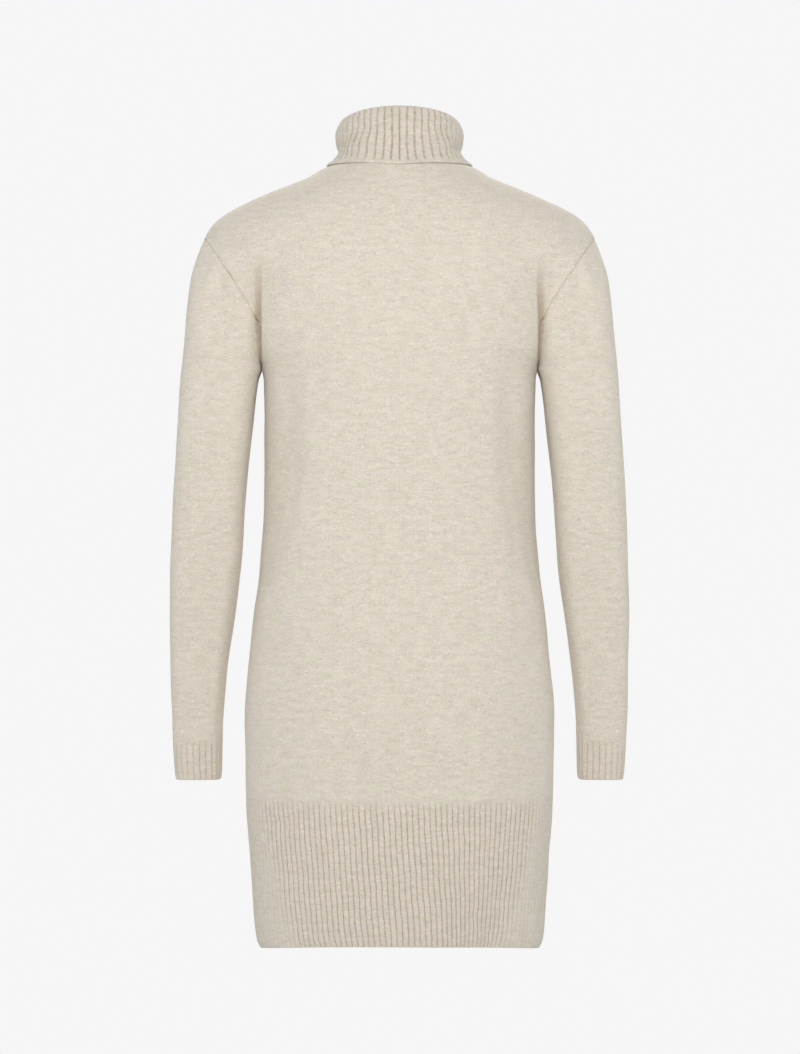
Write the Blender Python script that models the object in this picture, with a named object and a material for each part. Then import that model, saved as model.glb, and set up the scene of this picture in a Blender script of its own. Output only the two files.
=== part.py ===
"""A roll-neck sweater dress, filled out as worn and hollow all through.

Fine knit front and back, two dropped sleeves, ribbed cuffs, a deep ribbed hem band in two
pieces and a ribbed collar turned down over itself. Each is a closed wall of cloth.

Sizes are in millimetres and heights are above the hem, until scene_points turns them into
metres with +Z up. The wearer faces -Y and the wearer's left side is +X. The scene's origin is
on the body's middle line, level with the seam at the back of the neck, where the wearer's neck and
shoulders hold the dress up.
"""

import math
from collections import namedtuple

import bpy
import numpy as np

COLLECTION = "sweater_dress"
METRES = 0.001
ORIGIN_HEIGHT = 866.0

# Cloth
WALL = 2.0
RIB_WALL = 2.4
COLLAR_WALL = 2.6
SEAM_GAP = 0.3
HEM_GROOVE = 0.8
CUFF_GROOVE = 0.7
COLLAR_GROOVE = 1.0
GROOVE_SIDE = 0.27  # of a rib's width, from the bottom of its groove to its crest

# Ribs
RIBS_PER_HEM_PANEL = 72
RIBS_PER_CUFF = 30
RIBS_PER_COLLAR = 52
POINTS_PER_RIB = 3
RIBS_PER_HEM_BACKING = 3
RIBS_PER_CUFF_BACKING = 3
RIBS_PER_COLLAR_BACKING = 1

# Heights of the main seams and edges
HEM_BAND_TOP = 172.0
UNDERARM = 643.0
SEAM_LEAVES_CREASE = 684.0
SHOULDER_POINT = 786.0
CAP_BLEND_START = 726.0
CUFF_BOTTOM = 186.0
CUFF_TOP = 230.8
CUFF_TOP_SLANT = 4.8
CUFF_EDGE_IN = 0.8
SLANT_FADES_OVER = 90.0

# The hem rides up a little over the seat
HEM_RISE_BACK = 12.0
HEM_RISE_FRONT = 4.0
HEM_RISE_FADES_OVER = 120.0
HEM_RISE_POWER = 1.2

# Neck ring of the front and back
NECK_HALF_WIDTH = 63.0
NECK_BACK = 60.0
NECK_FRONT = 70.0
COLLAR_CLEARANCE = 0.5
COLLAR_EDGE_GROOVE = 0.6  # depth of the grooves at the collar's edge, as a share of their depth above it

# A soft fold runs down each side of the front and back, from the armpit to the hip
SIDE_FOLD_HALF_WIDTH = 24.0
SIDE_FOLD_CLEAR = 40.0  # the fold dies away where the panel is nearer than this to the side seam

# How full the sections of the sleeves and cuffs are, where 2 is an oval
SLEEVE_POWER = 2.6

# Meshes
TRUNK_COLUMNS = 10
YOKE_COLUMNS = 3
SLEEVE_COLUMNS = 20
ARC_SAMPLES = 240
HALVINGS = 40
SHARE_NUDGE = 0.02
STEP_NUDGE = 0.01
HEIGHT_NUDGE = 0.5
TIP_CLEAR = 2.0  # a sleeve's normals are taken at least this far below its tip
MERGE = 1e-4
SHARP_ANGLE = math.radians(50)

# Half the width and depth of the body's sections, which are superellipses of the given power
Trunk = namedtuple("Trunk", "height back front power")
TRUNK = (
    Trunk(0, 104.0, 101.0, 2.15),
    Trunk(9, 106.0, 103.0, 2.15),
    Trunk(31, 108.0, 104.0, 2.15),
    Trunk(98, 110.0, 105.0, 2.2),
    Trunk(172, 113.0, 106.0, 2.25),
    Trunk(253, 117.0, 106.0, 2.3),
    Trunk(342, 110.0, 104.0, 2.35),
    Trunk(430, 99.0, 102.0, 2.4),
    Trunk(497, 96.0, 104.0, 2.45),
    Trunk(564, 100.0, 110.0, 2.5),
    Trunk(643, 107.0, 117.0, 2.5),
    Trunk(690, 110.0, 118.0, 2.4),
    Trunk(743, 109.0, 111.0, 2.3),
    Trunk(786, 103.0, 98.0, 2.2),
    Trunk(815, 94.5, 84.0, 2.1),
    Trunk(830, 88.0, 71.0, 2.1),
    Trunk(848, 79.0, 57.0, 2.1),
    Trunk(864, 69.5, 35.0, 2.1),
    Trunk(876, 58.0, 15.0, 2.1),
)
Width = namedtuple("Width", "height half_width")
SIDE_SEAM = (
    Width(0, 154.0),
    Width(9, 158.0),
    Width(31, 161.0),
    Width(98, 165.5),
    Width(172, 170.3),
    Width(253, 171.5),
    Width(342, 164.5),
    Width(430, 154.0),
    Width(497, 150.0),
    Width(564, 149.8),
    Width(630, 150.6),
    Width(643, 153.0),
)

Fold = namedtuple("Fold", "height x depth")
SIDE_FOLD = (
    Fold(340, 152.0, 0.0),
    Fold(400, 146.0, 2.5),
    Fold(450, 138.0, 4.5),
    Fold(500, 128.0, 6.0),
    Fold(564, 121.0, 6.0),
    Fold(625, 121.0, 4.0),
    Fold(684, 124.0, 0.0),
)

# The ridge of the shoulder, from the shoulder point to the neck
RIDGE = (
    Width(786, 216.3),
    Width(797, 210.5),
    Width(808, 200.5),
    Width(819, 184.0),
    Width(830, 161.0),
    Width(841, 134.0),
    Width(852.5, 104.0),
    Width(863.6, 85.0),
    Width(869, 72.0),
    Width(873, 63.0),
    Width(877, 52.0),
)

# The deep crease between body and sleeve, and the lobe of the sleeve beside it
Armhole = namedtuple("Armhole", "height crease crease_depth lobe_depth seam")
ARMHOLE = (
    Armhole(643, 153.0, 0.0, 60.0, 153.0),
    Armhole(652, 153.8, 20.0, 60.5, 153.8),
    Armhole(666, 155.0, 38.0, 61.5, 155.0),
    Armhole(684, 156.5, 50.0, 63.0, 156.5),
    Armhole(704, 157.6, 57.0, 64.5, 165.0),
    Armhole(726, 158.0, 62.5, 66.5, 176.5),
    Armhole(748, 158.0, 67.0, 69.0, 190.0),
    Armhole(766, 158.0, 70.0, 73.0, 201.5),
    Armhole(778, 158.0, 73.5, 76.0, 210.3),
    Armhole(786, 158.0, 75.0, 78.0, 216.3),
)

# How far the ribs lean towards the wearer's right at the back hem, from the wearer's right at -1 to
# the left at 1
Lean = namedtuple("Lean", "share lean")
LEAN = (
    Lean(-1.0, 0.0),
    Lean(-0.55, -2.0),
    Lean(-0.38, 4.0),
    Lean(-0.15, 12.5),
    Lean(0.1, 9.0),
    Lean(0.4, 5.5),
    Lean(1.0, 0.0),
)

# Outer and inner edge of the sleeve seen from behind, its depth, and how far it leads the body
Sleeve = namedtuple("Sleeve", "height outer inner depth lead")
SLEEVE = (
    Sleeve(186, 250.0, 198.6, 31.0, 27.0),
    Sleeve(231, 252.3, 197.8, 34.0, 25.0),
    Sleeve(297, 254.2, 193.7, 40.0, 21.0),
    Sleeve(364, 255.0, 184.8, 45.0, 16.0),
    Sleeve(430, 253.5, 176.0, 49.5, 11.0),
    Sleeve(497, 250.8, 171.5, 53.0, 6.0),
    Sleeve(564, 246.2, 164.8, 56.0, 2.0),
    Sleeve(630, 242.0, 156.8, 59.0, 0.0),
    Sleeve(643, 240.8, 153.0, 60.0, 0.0),
    Sleeve(684, 236.8, 153.0, 63.0, 0.0),
    Sleeve(719, 233.3, 153.0, 66.0, 0.0),
    Sleeve(743, 230.0, 153.0, 68.5, 0.0),
    Sleeve(764, 224.5, 153.0, 73.0, 0.0),
    Sleeve(775, 221.0, 153.0, 75.0, 0.0),
    Sleeve(786, 216.3, 153.0, 78.0, 0.0),
)

# The collar's showing face, from inside the neck over the fold to the edge on the shoulders
Roll = namedtuple("Roll", "half_width back front side_height back_height front_height spread")
ROLL = (
    Roll(60.0, 56.5, 62.5, 893.0, 896.0, 862.0, 0.0),
    Roll(60.8, 56.0, 59.0, 906.0, 920.0, 884.0, -0.02),
    Roll(65.5, 60.5, 63.5, 912.5, 928.0, 892.0, -0.03),
    Roll(69.8, 64.8, 68.5, 906.5, 921.5, 885.0, -0.04),
    Roll(70.8, 67.0, 72.5, 894.0, 903.0, 866.0, -0.03),
)
# The collar's lower rings, whose heights follow the shoulders below them
Skirt = namedtuple("Skirt", "half_width back front side_lift back_lift front_lift spread")
SKIRT = (
    Skirt(68.0, 67.8, 77.5, 11.5, 18.0, 21.0, 0.13),
    Skirt(73.0, 70.0, 82.0, 6.0, 8.0, 10.5, 0.09),
)
COLLAR_EDGE_HALF_WIDTH = 77.5
COLLAR_EDGE_BACK = 70.0
COLLAR_EDGE_FRONT = 85.0

# Rows of each mesh
BODY_HEIGHTS = (260, 345, 430, 500, 570)
YOKE_SHARES = (0.05, 0.14, 0.32, 0.62, 1.0)
HEM_HEIGHTS = (0, 8, 85)
SLEEVE_HEIGHTS = (310, 390, 470, 550, 612)
CUFF_SHARES = (0.0, 0.12, 1.0)

KNIT_ROUGHNESS = 0.95
KNIT_COLOURS = {
    "body": (0.70, 0.65, 0.56),
    "sleeve": (0.69, 0.64, 0.55),
    "rib": (0.64, 0.58, 0.48),
}


def smooth(rows, name, along="height"):
    """A smooth function through one column of a table, level past its ends."""
    x = np.array([getattr(row, along) for row in rows], float)
    y = np.array([getattr(row, name) for row in rows], float)
    step = np.diff(x)
    rise = np.diff(y) / step
    slope = np.zeros(len(x))
    before, after = rise[:-1], rise[1:]
    same_way = before * after > 0
    total = np.where(same_way, before + after, 1.0)
    slope[1:-1] = np.where(same_way, 2 * before * after / total, 0.0)
    slope[0], slope[-1] = rise[0], rise[-1]

    def value(place):
        at = np.clip(np.asarray(place, float), x[0], x[-1])
        i = np.clip(np.searchsorted(x, at, side="right") - 1, 0, len(step) - 1)
        t = (at - x[i]) / step[i]
        start = (1 + 2 * t) * (1 - t) ** 2 * y[i] + t * (1 - t) ** 2 * step[i] * slope[i]
        end = t**2 * (3 - 2 * t) * y[i + 1] - t**2 * (1 - t) * step[i] * slope[i + 1]
        return start + end

    return value


trunk_power = smooth(TRUNK, "power")
trunk_depth = {"back": smooth(TRUNK, "back"), "front": smooth(TRUNK, "front")}
side_seam_x = smooth(SIDE_SEAM, "half_width")
side_fold_x = smooth(SIDE_FOLD, "x")
side_fold_depth = smooth(SIDE_FOLD, "depth")
ridge_width = smooth(RIDGE, "half_width")
crease_x = smooth(ARMHOLE, "crease")
crease_y = smooth(ARMHOLE, "crease_depth")
lobe_depth = smooth(ARMHOLE, "lobe_depth")
seam_x = smooth(ARMHOLE, "seam")
sleeve_outer = smooth(SLEEVE, "outer")
sleeve_inner = smooth(SLEEVE, "inner")
sleeve_depth = smooth(SLEEVE, "depth")
sleeve_lead = smooth(SLEEVE, "lead")
rib_lean = smooth(LEAN, "lean", along="share")


def blend(value, start, end):
    """0 at start, 1 at end, with level ends."""
    t = np.clip((value - start) / (end - start), 0.0, 1.0)
    return t * t * (3 - 2 * t)


def superellipse(angle, half_width, depth, power):
    """The point of a quarter superellipse, from its middle at 0 to its side at a right angle."""
    sine = np.clip(np.sin(angle), 0.0, 1.0)
    cosine = np.clip(np.cos(angle), 0.0, 1.0)
    return half_width * sine ** (2 / power), depth * cosine ** (2 / power)


def full_oval(angle):
    """Across and deep on a sleeve's section of size 1, from its inner side at 0 to its outer side at pi."""
    across, deep = -np.cos(angle), np.sin(angle)
    return tuple(np.sign(part) * np.abs(part) ** (2 / SLEEVE_POWER) for part in (across, deep))


def unit(vectors):
    return vectors / np.linalg.norm(vectors, axis=-1, keepdims=True)


# Front and back


def chest_outline(x, height, side):
    """Depth of the smooth cap over the shoulders at x, for heights up to the shoulder point."""
    power = trunk_power(height)
    share = np.clip(np.abs(x) / sleeve_outer(height), 0.0, 1.0)
    return trunk_depth[side](height) * (1 - share**power) ** (1 / power)


def lobe(height):
    """Middle and half width of the sleeve's lobe, which ends in the crease."""
    outer = sleeve_outer(height)
    share = np.clip(crease_y(height) / lobe_depth(height), 0.0, 1.0)
    rise = (1 - share**SLEEVE_POWER) ** (1 / SLEEVE_POWER)
    width = (outer - crease_x(height)) / (1 + rise)
    return outer - width, width


def lobe_point(angle, height, side):
    """A point of the sleeve's lobe, from the inner side at 0 to the outer edge at pi."""
    middle, width = lobe(height)
    across, deep = full_oval(angle)
    x = middle + width * across
    cap = blend(height, CAP_BLEND_START, SHOULDER_POINT)
    return x, (1 - cap) * lobe_depth(height) * deep + cap * chest_outline(x, height, side)


def lobe_angle(x, height):
    middle, width = lobe(height)
    share = np.clip((middle - x) / width, -1.0, 1.0)
    return np.arccos(np.sign(share) * np.abs(share) ** (SLEEVE_POWER / 2))


def side_fold(x, y, height):
    """How far the soft fold down the side draws the body in."""
    near = 1 - blend(np.abs(x - side_fold_x(height)), 0.0, SIDE_FOLD_HALF_WIDTH)
    return side_fold_depth(height) * near * blend(y, 0.0, SIDE_FOLD_CLEAR)


def trunk_point(share, height, side):
    """A point of the body's own lobe, from its middle line at 0 to the side seam or crease at 1."""
    if height <= UNDERARM:
        width, depth = side_seam_x(height) - SEAM_GAP / 2, trunk_depth[side](height)
        x, y = superellipse(share * math.pi / 2, width, depth, trunk_power(height))
        return x, y - side_fold(x, y, height)
    power, depth = trunk_power(height), trunk_depth[side](height)
    limit = crease_x(height) - SEAM_GAP / 2
    fill = (crease_y(height) / depth) ** power
    width = crease_x(height) / (1 - fill) ** (1 / power)
    end = math.asin(min((limit / width) ** (power / 2), 1.0))
    x, y = superellipse(share * end, width, depth, power)
    cap = blend(height, CAP_BLEND_START, SHOULDER_POINT)
    return x, (1 - cap) * y + cap * chest_outline(x, height, side) - side_fold(x, y, height)


def body_point(column, height, side):
    """A point of the front or back up to the shoulder point.

    Columns past the trunk's lie on the sleeve's lobe.
    """
    if column <= TRUNK_COLUMNS or height <= SEAM_LEAVES_CREASE:
        x, y = trunk_point(min(column / TRUNK_COLUMNS, 1.0), height, side)
    else:
        start = lobe_angle(crease_x(height), height)
        end = lobe_angle(seam_x(height) - SEAM_GAP / 2, height)
        share = (column - TRUNK_COLUMNS) / YOKE_COLUMNS
        x, y = lobe_point(start + share * (end - start), height, side)
        y = y * (share < 1 or height < SHOULDER_POINT)
    y = max(float(y), SEAM_GAP / 2)
    return np.array([float(x), y, height])


def surface_height(x, depth, side):
    """The height where the shoulders pass through a place seen from above."""
    low, high = SHOULDER_POINT - 1.0, RIDGE[-1].height
    for _ in range(HALVINGS):
        middle = (low + high) / 2
        power = trunk_power(middle)
        inside = (x / ridge_width(middle)) ** power + (depth / trunk_depth[side](middle)) ** power
        if inside < 1:
            low = middle
        else:
            high = middle
    return (low + high) / 2


def yoke_surface(angle, step, side):
    """A point above the shoulder point, from there at step 0 to the neck ring at step 1."""
    start_power = float(trunk_power(SHOULDER_POINT))
    width0, depth0 = float(ridge_width(SHOULDER_POINT)), float(trunk_depth[side](SHOULDER_POINT))
    neck_depth = NECK_BACK if side == "back" else NECK_FRONT
    width = width0 + step * (NECK_HALF_WIDTH - width0)
    depth = depth0 + step * (neck_depth - depth0)
    x, y = superellipse(angle, width, depth, start_power + step * (2 - start_power))
    return np.array([float(x), float(y), surface_height(float(x), float(y), side)])


def yoke_angle(column, side):
    """Where a column of the panel stands on the section at the shoulder point."""
    x, y, _ = body_point(column, SHOULDER_POINT, side)
    power = float(trunk_power(SHOULDER_POINT))
    across = (x / float(ridge_width(SHOULDER_POINT))) ** (power / 2)
    deep = (y / float(trunk_depth[side](SHOULDER_POINT))) ** (power / 2)
    return math.atan2(across, deep)


def yoke_point(column, step, side):
    """Columns keep their places at the shoulder point and end evenly spaced round the neck."""
    even = math.pi / 2 * column / (TRUNK_COLUMNS + YOKE_COLUMNS)
    angle = yoke_angle(column, side) * (1 - step) + even * step
    point = yoke_surface(angle, step, side)
    return np.array([point[0], max(point[1], SEAM_GAP / 2), point[2]])


def normals_of(point, column, row, column_ends, row_step, row_ends):
    """The unit normal of a surface point(column, row), from its neighbours."""
    low, high = max(column - SHARE_NUDGE, column_ends[0]), min(column + SHARE_NUDGE, column_ends[1])
    under, over = max(row - row_step, row_ends[0]), min(row + row_step, row_ends[1])
    across = point(high, row) - point(low, row)
    along = point(column, over) - point(column, under)
    return unit(np.cross(along, across))


def body_normal(column, height, side):
    """The unit normal of the front or back up to the shoulder point.

    In the crease it is the mean of the normals on its two sides.
    """

    def at(c, h):
        return body_point(c, h, side)

    nudge = SHARE_NUDGE
    if height <= SEAM_LEAVES_CREASE:
        top = UNDERARM if height <= UNDERARM else SEAM_LEAVES_CREASE
        bottom = 0.0 if height <= UNDERARM else UNDERARM + nudge
        span = (0, TRUNK_COLUMNS - nudge / 2)
        return normals_of(at, min(column, span[1]), height, span, HEIGHT_NUDGE, (bottom, top))
    ends = (SEAM_LEAVES_CREASE + nudge, SHOULDER_POINT)
    last = TRUNK_COLUMNS + YOKE_COLUMNS
    if column == TRUNK_COLUMNS:
        trunk = normals_of(at, column - nudge, height, (0, column - nudge / 2), HEIGHT_NUDGE, ends)
        yoke = normals_of(at, column + nudge, height, (column + nudge / 2, last), HEIGHT_NUDGE, ends)
        return unit(trunk + yoke)
    span = (0, TRUNK_COLUMNS) if column < TRUNK_COLUMNS else (TRUNK_COLUMNS + nudge, last - nudge)
    return normals_of(at, min(column, span[1]), height, span, HEIGHT_NUDGE, ends)


def yoke_normal(column, step, side):
    last = TRUNK_COLUMNS + YOKE_COLUMNS

    def at(c, s):
        return yoke_point(c, s, side)

    return normals_of(at, column, step, (0, last), STEP_NUDGE, (0.0, 1.0))


def facing(side, points):
    """Half points worked out with depth as +Y, turned to their side of the dress."""
    return points * np.array([1.0, 1.0 if side == "back" else -1.0, 1.0])


def body_rows(side):
    """Outer and inner points of half a panel, a row for each height, from the middle line out."""
    columns = range(TRUNK_COLUMNS + YOKE_COLUMNS + 1)
    bottom = HEM_BAND_TOP + SEAM_GAP / 2
    heights = (bottom, *BODY_HEIGHTS, *(row.height for row in ARMHOLE))
    outer, inner = [], []
    for height in heights:
        points = [body_point(c, float(height), side) for c in columns]
        normals = [body_normal(c, float(height), side) for c in columns]
        outer.append(points)
        inner.append([p - WALL * n for p, n in zip(points, normals)])
    for step in YOKE_SHARES:
        points = [yoke_point(c, step, side) for c in columns]
        normals = [yoke_normal(c, step, side) for c in columns]
        outer.append(points)
        inner.append([p - WALL * n for p, n in zip(points, normals)])
    outer, inner = np.array(outer), np.array(inner)
    inner[:, -1, 1] = np.where(outer[:, -1, 1] < SEAM_GAP, SEAM_GAP / 2, inner[:, -1, 1])
    inner[:, 0, 0] = 0.0
    return facing(side, outer), facing(side, inner)


def both_halves(rows):
    """Rows that run from the middle line out, carried on through it to the other side."""
    mirrored = rows[:, :0:-1] * np.array([-1.0, 1.0, 1.0])
    return np.concatenate([mirrored, rows], axis=1)


# Meshes


class Wall:
    """Faces of a wall of cloth. Points that fall on each other are one, and faces that close up go."""

    def __init__(self):
        self.points = []
        self.index = {}
        self.faces = []

    def vertex(self, point):
        key = tuple(np.round(np.asarray(point) / MERGE).astype(int))
        if key not in self.index:
            self.index[key] = len(self.points)
            self.points.append(point)
        return self.index[key]

    def face(self, *corners):
        found = []
        for corner in corners:
            vertex = self.vertex(corner)
            if vertex not in found:
                found.append(vertex)
        if len(found) > 2:
            self.faces.append(found)

    def sheet(self, rows, out, closed=False):
        """A grid of faces. out says whether they face the way that rows up and columns across give."""
        columns = len(rows[0])
        for low, high in zip(rows[:-1], rows[1:]):
            for i in range(columns if closed else columns - 1):
                j = (i + 1) % columns
                corners = (low[i], low[j], high[j], high[i])
                self.face(*(corners if out else corners[::-1]))

    def edge(self, fine, coarse, out, closed=False):
        """Closes a wall between its rows of points, where fine may have several for each of coarse's."""
        ends = 0 if closed else 1
        each = (len(fine) - ends) // (len(coarse) - ends)
        for i in range(len(coarse) - ends):
            near, far = coarse[i], coarse[(i + 1) % len(coarse)]
            run = [fine[(i * each + k) % len(fine)] for k in range(each + 1)]
            turn = each // 2
            for k in range(each):
                corners = (run[k], run[k + 1], near if k < turn else far)
                self.face(*(corners if out else corners[::-1]))
            corners = (near, run[turn], far)
            self.face(*(corners if out else corners[::-1]))


def scene_points(points):
    return (np.asarray(points) - np.array([0.0, 0.0, ORIGIN_HEIGHT])) * METRES


def knit_material(name, colour):
    material = bpy.data.materials.new(name)
    material.use_nodes = True
    shader = material.node_tree.nodes["Principled BSDF"]
    shader.inputs["Base Color"].default_value = (*colour, 1.0)
    shader.inputs["Roughness"].default_value = KNIT_ROUGHNESS
    shader.inputs["Metallic"].default_value = 0.0
    return material


def add_piece(name, wall, kind, collection):
    mesh = bpy.data.meshes.new(name)
    mesh.from_pydata(scene_points(wall.points).tolist(), [], wall.faces)
    mesh.materials.append(knit_material(f"{name}_knit", KNIT_COLOURS[kind]))
    mesh.shade_smooth()
    mesh.set_sharp_from_angle(angle=SHARP_ANGLE)
    piece = bpy.data.objects.new(name, mesh)
    collection.objects.link(piece)
    return piece


def body_panel(side):
    outer, inner = (both_halves(rows) for rows in body_rows(side))
    out = side == "front"
    wall = Wall()
    wall.sheet(outer, out)
    wall.sheet(inner, not out)
    wall.edge(outer[0], inner[0], not out)
    wall.edge(outer[-1], inner[-1], out)
    wall.edge(outer[:, 0], inner[:, 0], out)
    wall.edge(outer[:, -1], inner[:, -1], not out)
    return wall


# Ribs


def rib_profile():
    """Places of a rib's points across its width and their heights, 0 at the crest and -1 in the groove."""
    return ((0.0, -1.0), (GROOVE_SIDE, 0.0), (1 - GROOVE_SIDE, 0.0))


def rib_columns(ribs, closed):
    """(place in ribs, height) of each point across a run of ribs."""
    places = [(i + place, level) for i in range(ribs) for place, level in rib_profile()]
    return places if closed else [*places, (float(ribs), -1.0)]


def hem_ring(height, side):
    """The hem band's section at this height: x, depth and length so far, from the middle line out."""
    angles = np.linspace(0, math.pi / 2, ARC_SAMPLES)
    width = side_seam_x(height) - SEAM_GAP / 2
    x, y = superellipse(angles, width, trunk_depth[side](height), trunk_power(height))
    length = np.concatenate([[0], np.cumsum(np.hypot(np.diff(x), np.diff(y)))])
    return x, np.maximum(y, SEAM_GAP / 2), length


def hem_point(share, height, side):
    """A point of the hem band. share runs from -1 on the wearer's right to 1 on the left."""
    drop = 1 - height / HEM_BAND_TOP
    x, y, length = hem_ring(height, side)
    if side == "back":
        share = share - float(rib_lean(share)) * drop / length[-1]
    at = abs(share) * length[-1]
    rise = HEM_RISE_BACK if side == "back" else HEM_RISE_FRONT
    lift = rise * (1 - blend(height, 0, HEM_RISE_FADES_OVER))
    place_x, place_y = np.interp(at, length, x), np.interp(at, length, y)
    middle = place_y / float(trunk_depth[side](height))
    return np.array([math.copysign(place_x, share), place_y, height + lift * middle**HEM_RISE_POWER])


def hem_panel(side):
    out = side == "back"
    top = HEM_BAND_TOP - SEAM_GAP / 2
    columns = rib_columns(RIBS_PER_HEM_PANEL, closed=False)
    shares = [2 * place / RIBS_PER_HEM_PANEL - 1 for place, _ in columns]

    def at(share, height):
        return hem_point(share, height, side)

    outer, inner = [], []
    for height in (*map(float, HEM_HEIGHTS), top):
        points = np.array([at(share, height) for share in shares])
        normals = [normals_of(at, share, height, (-1, 1), HEIGHT_NUDGE, (0, top)) for share in shares]
        normals = np.array(normals)
        normals[[0, -1], 1] = 0.0
        levels = np.array([[level] for _, level in columns])
        outer.append(points + unit(normals) * levels * HEM_GROOVE)
        inner.append((points - unit(normals) * RIB_WALL)[:: POINTS_PER_RIB * RIBS_PER_HEM_BACKING])
    outer, inner = facing(side, np.array(outer)), facing(side, np.array(inner))
    wall = Wall()
    wall.sheet(outer, not out)
    wall.sheet(inner, out)
    wall.edge(outer[0], inner[0], out)
    wall.edge(outer[-1], inner[-1], not out)
    wall.edge(outer[:, 0], inner[:, 0], not out)
    wall.edge(outer[:, -1], inner[:, -1], out)
    return wall


# Sleeves and cuffs, made on the wearer's left


def sleeve_slant(angle, height):
    """The cuff's seam runs a little downhill from the inner to the outer side."""
    return CUFF_TOP_SLANT * np.cos(angle) * (1 - blend(height, CUFF_TOP, CUFF_TOP + SLANT_FADES_OVER))


def sleeve_point(share, height):
    """A point of the sleeve. share runs from the inner side or the back seam round to the front one."""
    if height <= UNDERARM:
        angle = 2 * math.pi * share
        outer, inner = float(sleeve_outer(height)), float(sleeve_inner(height)) + SEAM_GAP / 2
        across, deep = full_oval(angle)
        x = (outer + inner) / 2 + (outer - inner) / 2 * across
        y = float(sleeve_depth(height)) * deep - float(sleeve_lead(height))
        return np.array([x, y, height + float(sleeve_slant(angle, height))])
    side = "back" if share <= 0.5 else "front"
    seam = crease_x(height) if height <= SEAM_LEAVES_CREASE else seam_x(height)
    start = float(lobe_angle(seam + SEAM_GAP / 2, height))
    near = 1 - abs(2 * share - 1)
    x, y = lobe_point(start + near * (math.pi - start), height, side)
    return facing(side, np.array([float(x), float(y), height]))


def sleeve_normal(share, height):
    if height <= UNDERARM:
        span = (-SHARE_NUDGE, 1 + SHARE_NUDGE)
        return normals_of(sleeve_point, share, height, span, HEIGHT_NUDGE, (CUFF_BOTTOM, UNDERARM))
    if height > SHOULDER_POINT - TIP_CLEAR:
        share, height = 0.5, SHOULDER_POINT - TIP_CLEAR
    ends = (UNDERARM + SHARE_NUDGE, SHOULDER_POINT - TIP_CLEAR / 2)
    return normals_of(sleeve_point, share, height, (0.0, 1.0), HEIGHT_NUDGE, ends)


def sleeve():
    tip = SHOULDER_POINT - SEAM_GAP
    underarm_row = 1 + len(SLEEVE_HEIGHTS)
    heights = (CUFF_TOP + SEAM_GAP / 2, *SLEEVE_HEIGHTS, *(row.height for row in ARMHOLE[:-1]), tip)
    shares = np.linspace(0, 1, SLEEVE_COLUMNS + 1)
    outer = np.array([[sleeve_point(s, float(h)) for s in shares] for h in heights])
    normals = np.array([[sleeve_normal(s, float(h)) for s in shares] for h in heights])
    outer[-1] = outer[-1, SLEEVE_COLUMNS // 2]
    inner = outer - WALL * normals
    wall = Wall()
    wall.sheet(outer, False)
    wall.sheet(inner, True)
    wall.edge(outer[0], inner[0], True)
    wall.edge(outer[underarm_row:, 0], inner[underarm_row:, 0], False)
    wall.edge(outer[underarm_row:, -1], inner[underarm_row:, -1], True)
    return wall


def cuff_point(share, rise):
    """A point of the cuff, from its edge at rise 0 to the sleeve at 1, even along its length."""
    height = CUFF_BOTTOM + rise * (CUFF_TOP - SEAM_GAP / 2 - CUFF_BOTTOM)
    outer, inner = float(sleeve_outer(height)), float(sleeve_inner(height)) + SEAM_GAP / 2
    angles = np.linspace(0, 2 * math.pi, ARC_SAMPLES)
    across, deep = full_oval(angles)
    x, y = (outer + inner) / 2 + (outer - inner) / 2 * across, float(sleeve_depth(height)) * deep
    length = np.concatenate([[0], np.cumsum(np.hypot(np.diff(x), np.diff(y)))])
    angle = np.interp((share % 1.0) * length[-1], length, angles)
    x, y = np.interp(angle, angles, x), np.interp(angle, angles, y)
    return np.array([x, y - float(sleeve_lead(height)), height + CUFF_TOP_SLANT * math.cos(angle) * rise])


def cuff():
    columns = rib_columns(RIBS_PER_CUFF, closed=True)
    levels = np.array([[level] for _, level in columns])
    outer, inner = [], []
    for rise in CUFF_SHARES:
        shares = [place / RIBS_PER_CUFF for place, _ in columns]
        points = np.array([cuff_point(share, rise) for share in shares])
        normals = np.array([normals_of(cuff_point, s, rise, (-1, 2), SHARE_NUDGE, (0, 1)) for s in shares])
        drawn_in = CUFF_EDGE_IN if rise == 0 else 0.0
        outer.append(points + normals * (levels * CUFF_GROOVE - drawn_in))
        inner.append((points - normals * RIB_WALL)[:: POINTS_PER_RIB * RIBS_PER_CUFF_BACKING])
    wall = Wall()
    wall.sheet(outer, False, closed=True)
    wall.sheet(inner, True, closed=True)
    wall.edge(outer[0], inner[0], True, closed=True)
    wall.edge(outer[-1], inner[-1], False, closed=True)
    return wall


# Collar


def rounds(angle):
    """The side of the dress that an angle round the neck is on, 0 at the back, and its quarter angle."""
    turn = math.atan2(math.sin(angle), math.cos(angle))
    side = "back" if abs(turn) <= math.pi / 2 else "front"
    quarter = abs(turn) if side == "back" else math.pi - abs(turn)
    return side, quarter, math.copysign(1.0, turn)


def on_shoulders(angle, half_width, back, front):
    """A point of the body on an oval round the neck, the body's normal there and the way up to the neck."""
    side, quarter, hand = rounds(angle)
    depth = back if side == "back" else front

    def at(turn, scale):
        x = max(half_width * scale * math.sin(turn), 0.0)
        y = max(depth * scale * math.cos(turn), 0.0)
        return np.array([x, y, surface_height(x, y, side)])

    point = at(quarter, 1.0)
    upward = unit(at(quarter, 1 - SHARE_NUDGE) - point)
    around = at(min(quarter + SHARE_NUDGE, math.pi / 2), 1.0) - at(max(quarter - SHARE_NUDGE, 0.0), 1.0)
    normal = unit(np.cross(upward, around))
    turn = np.array([hand, 1.0, 1.0])
    return tuple(facing(side, vector * turn) for vector in (point, normal, upward))


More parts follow.
